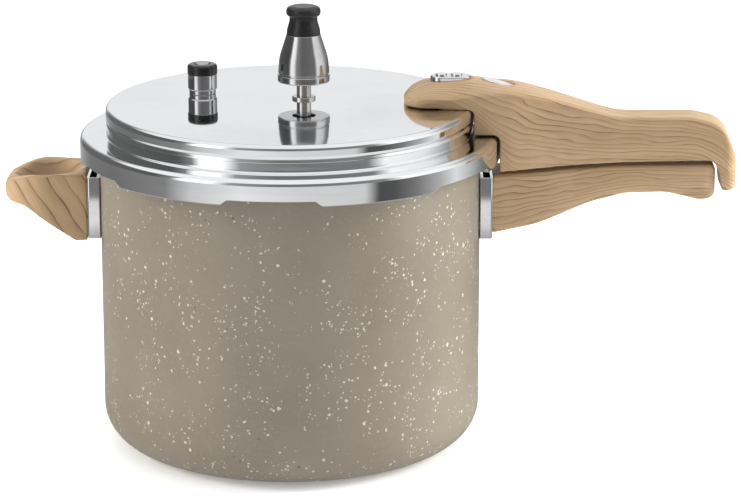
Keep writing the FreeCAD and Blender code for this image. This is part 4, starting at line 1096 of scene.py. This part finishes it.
STRAP_PITCH = 0.0176
STRAP_SHANK = 0.0016
STRAP_HEAD = 0.0024
strap_low, strap_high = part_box("lid_strap_rivets")
first_rivet = ((strap_low[0] + strap_high[0] - STRAP_PITCH) / 2, 0.0, (strap_low[2] + strap_high[2]) / 2)
strap_row = rivet_row("rivets_strap", plain_steel, first_rivet, (1, 0, 0), (0, 0, -1), Count=2,
                      Pitch=STRAP_PITCH, Shank_Radius=STRAP_SHANK,
                      Shank_Length=strap_high[2] - strap_low[2] - 2 * RIVET_CROWN, Head_Radius=STRAP_HEAD,
                      Head_Height=RIVET_CROWN, End_Radius=STRAP_HEAD, End_Height=RIVET_CROWN)
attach(strap_row, "lid")
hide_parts("lid_strap_rivets")

bright_trim = polished_metal("bright_trim", (0.84, 0.84, 0.85), 0.08, 0.05)
pale_trim = polished_metal("pale_trim", (0.72, 0.71, 0.69), 0.40, 0.10)
pale_trim.node_tree.nodes["Principled BSDF"].inputs["Metallic"].default_value = 0.45
for node in ("handle_plate", "handle_plate_screws"):
    refinish(node, bright_trim)
refinish("handle_badge", pale_trim)

# ------------------------------------------------------------------ vent pipe, weight and safety valve
# Turned metal fittings clamped through the lid, and the loose regulating weight with its knob.

nickel = polished_metal("nickelled_brass", (0.70, 0.69, 0.66), 0.14, 0.08)
for node in ("vent_pipe", "vent_nut", "relief_nut", "weight_seat"):
    refinish(node, nickel)


def moulded_black(name, roughness):
    """Black phenolic, a little scuffed."""
    material, tree, shader, place = new_finish(name, (0.014, 0.014, 0.015), roughness)
    skin = noise(tree, place, 900.0, detail=3.0)
    scuff = noise(tree, place, 120.0, detail=4.0, rough=0.7)
    colour = mix_colour(tree, rising(tree, scuff, 0.5, 0.85), (0.012, 0.012, 0.013), (0.035, 0.035, 0.037))
    dress(tree, shader, colour, math_node(tree, "MULTIPLY_ADD", scuff, 0.15, roughness - 0.07), skin,
          0.12, 0.00008)
    return material


knob_black = moulded_black("knob_black", 0.30)
cap_black = moulded_black("cap_black", 0.16)
chrome = polished_metal("valve_chrome", (0.58, 0.58, 0.59), 0.06, 0.05)


def centre_of(node):
    """Where the upright axis of a turned node stands."""
    low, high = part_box(node)
    return ((low[0] + high[0]) / 2, (low[1] + high[1]) / 2)


vent_centre = centre_of("vent_pipe")
bell_low, bell_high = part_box("weight_bell")
BELL_BOTTOM, BELL_TOP = bell_low[2], bell_high[2]
BELL_RADIUS = (bell_high[0] - bell_low[0]) / 2
BELL_FOOT = BELL_BOTTOM + 0.0044
BELL_BORE = 0.007
BELL_NECK = 0.0102
BELL_CEILING = BELL_TOP - 0.0085
STUD_BORE = 0.0026
bell = lathe("weight_body", rounded([
    (BELL_BORE, BELL_BOTTOM, 0.0003),
    (BELL_RADIUS, BELL_BOTTOM, 0.001),
    (BELL_RADIUS, BELL_FOOT, 0.0005),
    (BELL_RADIUS - 0.0009, BELL_FOOT, 0.0002),
    (BELL_RADIUS - 0.0009, BELL_FOOT + 0.0009, 0.0002),
    (BELL_RADIUS - 0.0003, BELL_FOOT + 0.0009, 0.0004),
    (BELL_RADIUS - 0.0010, BELL_BOTTOM + 0.0145, 0.030),
    (BELL_NECK + 0.0003, BELL_TOP - 0.0012, 0.002),
    (BELL_NECK, BELL_TOP, 0.0003),
    (STUD_BORE, BELL_TOP, 0),
    (STUD_BORE, BELL_CEILING, 0),
    (BELL_BORE, BELL_CEILING, 0.0003),
], steps=8, guard=0.0002), chrome, vent_centre, 128)
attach(bell, "weight")
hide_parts("weight_bell")

KNOB_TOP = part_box("weight_knob")[1][2]
KNOB_HEIGHT = KNOB_TOP - BELL_TOP
KNOB_WAIST = 0.0083
KNOB_BEAD = 0.0102
knob = lathe("weight_grip", rounded([
    (STUD_BORE, BELL_TOP + 0.0001, 0),
    (BELL_NECK - 0.0001, BELL_TOP + 0.0001, 0.0005),
    (BELL_NECK - 0.0004, BELL_TOP + 0.0030, 0.004),
    (KNOB_WAIST, BELL_TOP + KNOB_HEIGHT * 0.48, 0.010),
    (KNOB_WAIST, BELL_TOP + KNOB_HEIGHT * 0.62, 0.0012),
    (KNOB_BEAD, BELL_TOP + KNOB_HEIGHT * 0.70, 0.0022),
    (KNOB_BEAD, KNOB_TOP - 0.0012, 0.0024),
    (0.0070, KNOB_TOP, 0.0030),
    (0.0, KNOB_TOP, 0),
    (0.0, BELL_TOP + 0.0095, 0),
    (STUD_BORE, BELL_TOP + 0.0095, 0),
], steps=8, guard=0.0002), knob_black, vent_centre, 96)
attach(knob, "weight")
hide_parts("weight_knob")

relief_centre = centre_of("relief_barrel")
barrel_low, barrel_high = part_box("relief_barrel")
BARREL_TOP = barrel_high[2]
BARREL_RADIUS = (barrel_high[0] - barrel_low[0]) / 2
BARREL_BORE = BARREL_RADIUS - 0.0022
THREAD_RADIUS = 0.0050
COLLAR_RADIUS = 0.0080
VALVE_SEAT = 0.0024
barrel = lathe("relief_body", rounded([
    (VALVE_SEAT, barrel_low[2], 0),
    (THREAD_RADIUS, barrel_low[2], 0.0005),
    (THREAD_RADIUS, LID_TOP, 0),
    (COLLAR_RADIUS, LID_TOP + 0.0001, 0.0004),
    (COLLAR_RADIUS, LID_TOP + 0.0025, 0.0003),
    (BARREL_RADIUS, LID_TOP + 0.0033, 0.0004),
    (BARREL_RADIUS, BARREL_TOP, 0.0004),
    (BARREL_BORE, BARREL_TOP, 0.0002),
    (BARREL_BORE, LID_TOP + 0.003, 0.0003),
    (VALVE_SEAT, LID_TOP + 0.003, 0),
], steps=4, guard=0.0002), chrome, relief_centre, 96)
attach(barrel, "lid")
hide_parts("relief_barrel")

cap_low, cap_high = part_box("relief_cap")
CAP_RADIUS = (cap_high[0] - cap_low[0]) / 2
CAP_TOP = cap_high[2]
CAP_CEILING = CAP_TOP - 0.002
CAP_BORE = 0.0047
cap = lathe("relief_top", rounded([
    (BARREL_BORE, BARREL_TOP + 0.0001, 0),
    (CAP_RADIUS, BARREL_TOP + 0.0001, 0.0003),
    (CAP_RADIUS, CAP_TOP, 0.0018),
    (CAP_BORE, CAP_TOP, 0.0005),
    (CAP_BORE, CAP_CEILING, 0),
    (BARREL_BORE, CAP_CEILING, 0),
], steps=6, guard=0.0002), cap_black, relief_centre, 96)
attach(cap, "lid")
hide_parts("relief_cap")

refinish("relief_piston", plain_steel)


def coil_tree():
    """A coil spring: a spiral swept with round wire."""
    tree, given, result = node_tree("coil_spring", [
        ("Turns", "NodeSocketFloat", 5.0), ("Coil Radius", "NodeSocketFloat", 0.005),
        ("Height", "NodeSocketFloat", 0.01), ("Wire Radius", "NodeSocketFloat", 0.0004),
        ("Material", "NodeSocketMaterial", None)])
    path = tree.nodes.new("GeometryNodeCurveSpiral")
    path.inputs["Resolution"].default_value = 40
    tree.links.new(given["Turns"], path.inputs["Rotations"])
    tree.links.new(given["Coil Radius"], path.inputs["Start Radius"])
    tree.links.new(given["Coil Radius"], path.inputs["End Radius"])
    tree.links.new(given["Height"], path.inputs["Height"])
    wire = tree.nodes.new("GeometryNodeCurvePrimitiveCircle")
    wire.inputs["Resolution"].default_value = 12
    tree.links.new(given["Wire Radius"], wire.inputs["Radius"])
    sweep = tree.nodes.new("GeometryNodeCurveToMesh")
    sweep.inputs["Fill Caps"].default_value = True
    tree.links.new(path.outputs[0], sweep.inputs["Curve"])
    tree.links.new(wire.outputs[0], sweep.inputs["Profile Curve"])
    end_tree(tree, sweep.outputs[0], given["Material"], result)
    return tree


spring_low, spring_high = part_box("relief_spring")
SPRING_WIRE = 0.0004
SPRING_RADIUS = (spring_high[0] - spring_low[0]) / 2 - SPRING_WIRE
SPRING_HEIGHT = spring_high[2] - spring_low[2] - 2 * SPRING_WIRE
spring = grow(new_mesh_object("relief_coil", bpy.data.meshes.new("relief_coil")), coil_tree(), Turns=5.0,
              Coil_Radius=SPRING_RADIUS, Height=SPRING_HEIGHT, Wire_Radius=SPRING_WIRE, Material=plain_steel)
spring.data.transform(Matrix.Translation((*relief_centre, spring_low[2] + SPRING_WIRE)))
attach(spring, "lid")
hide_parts("relief_spring")
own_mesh(spring)
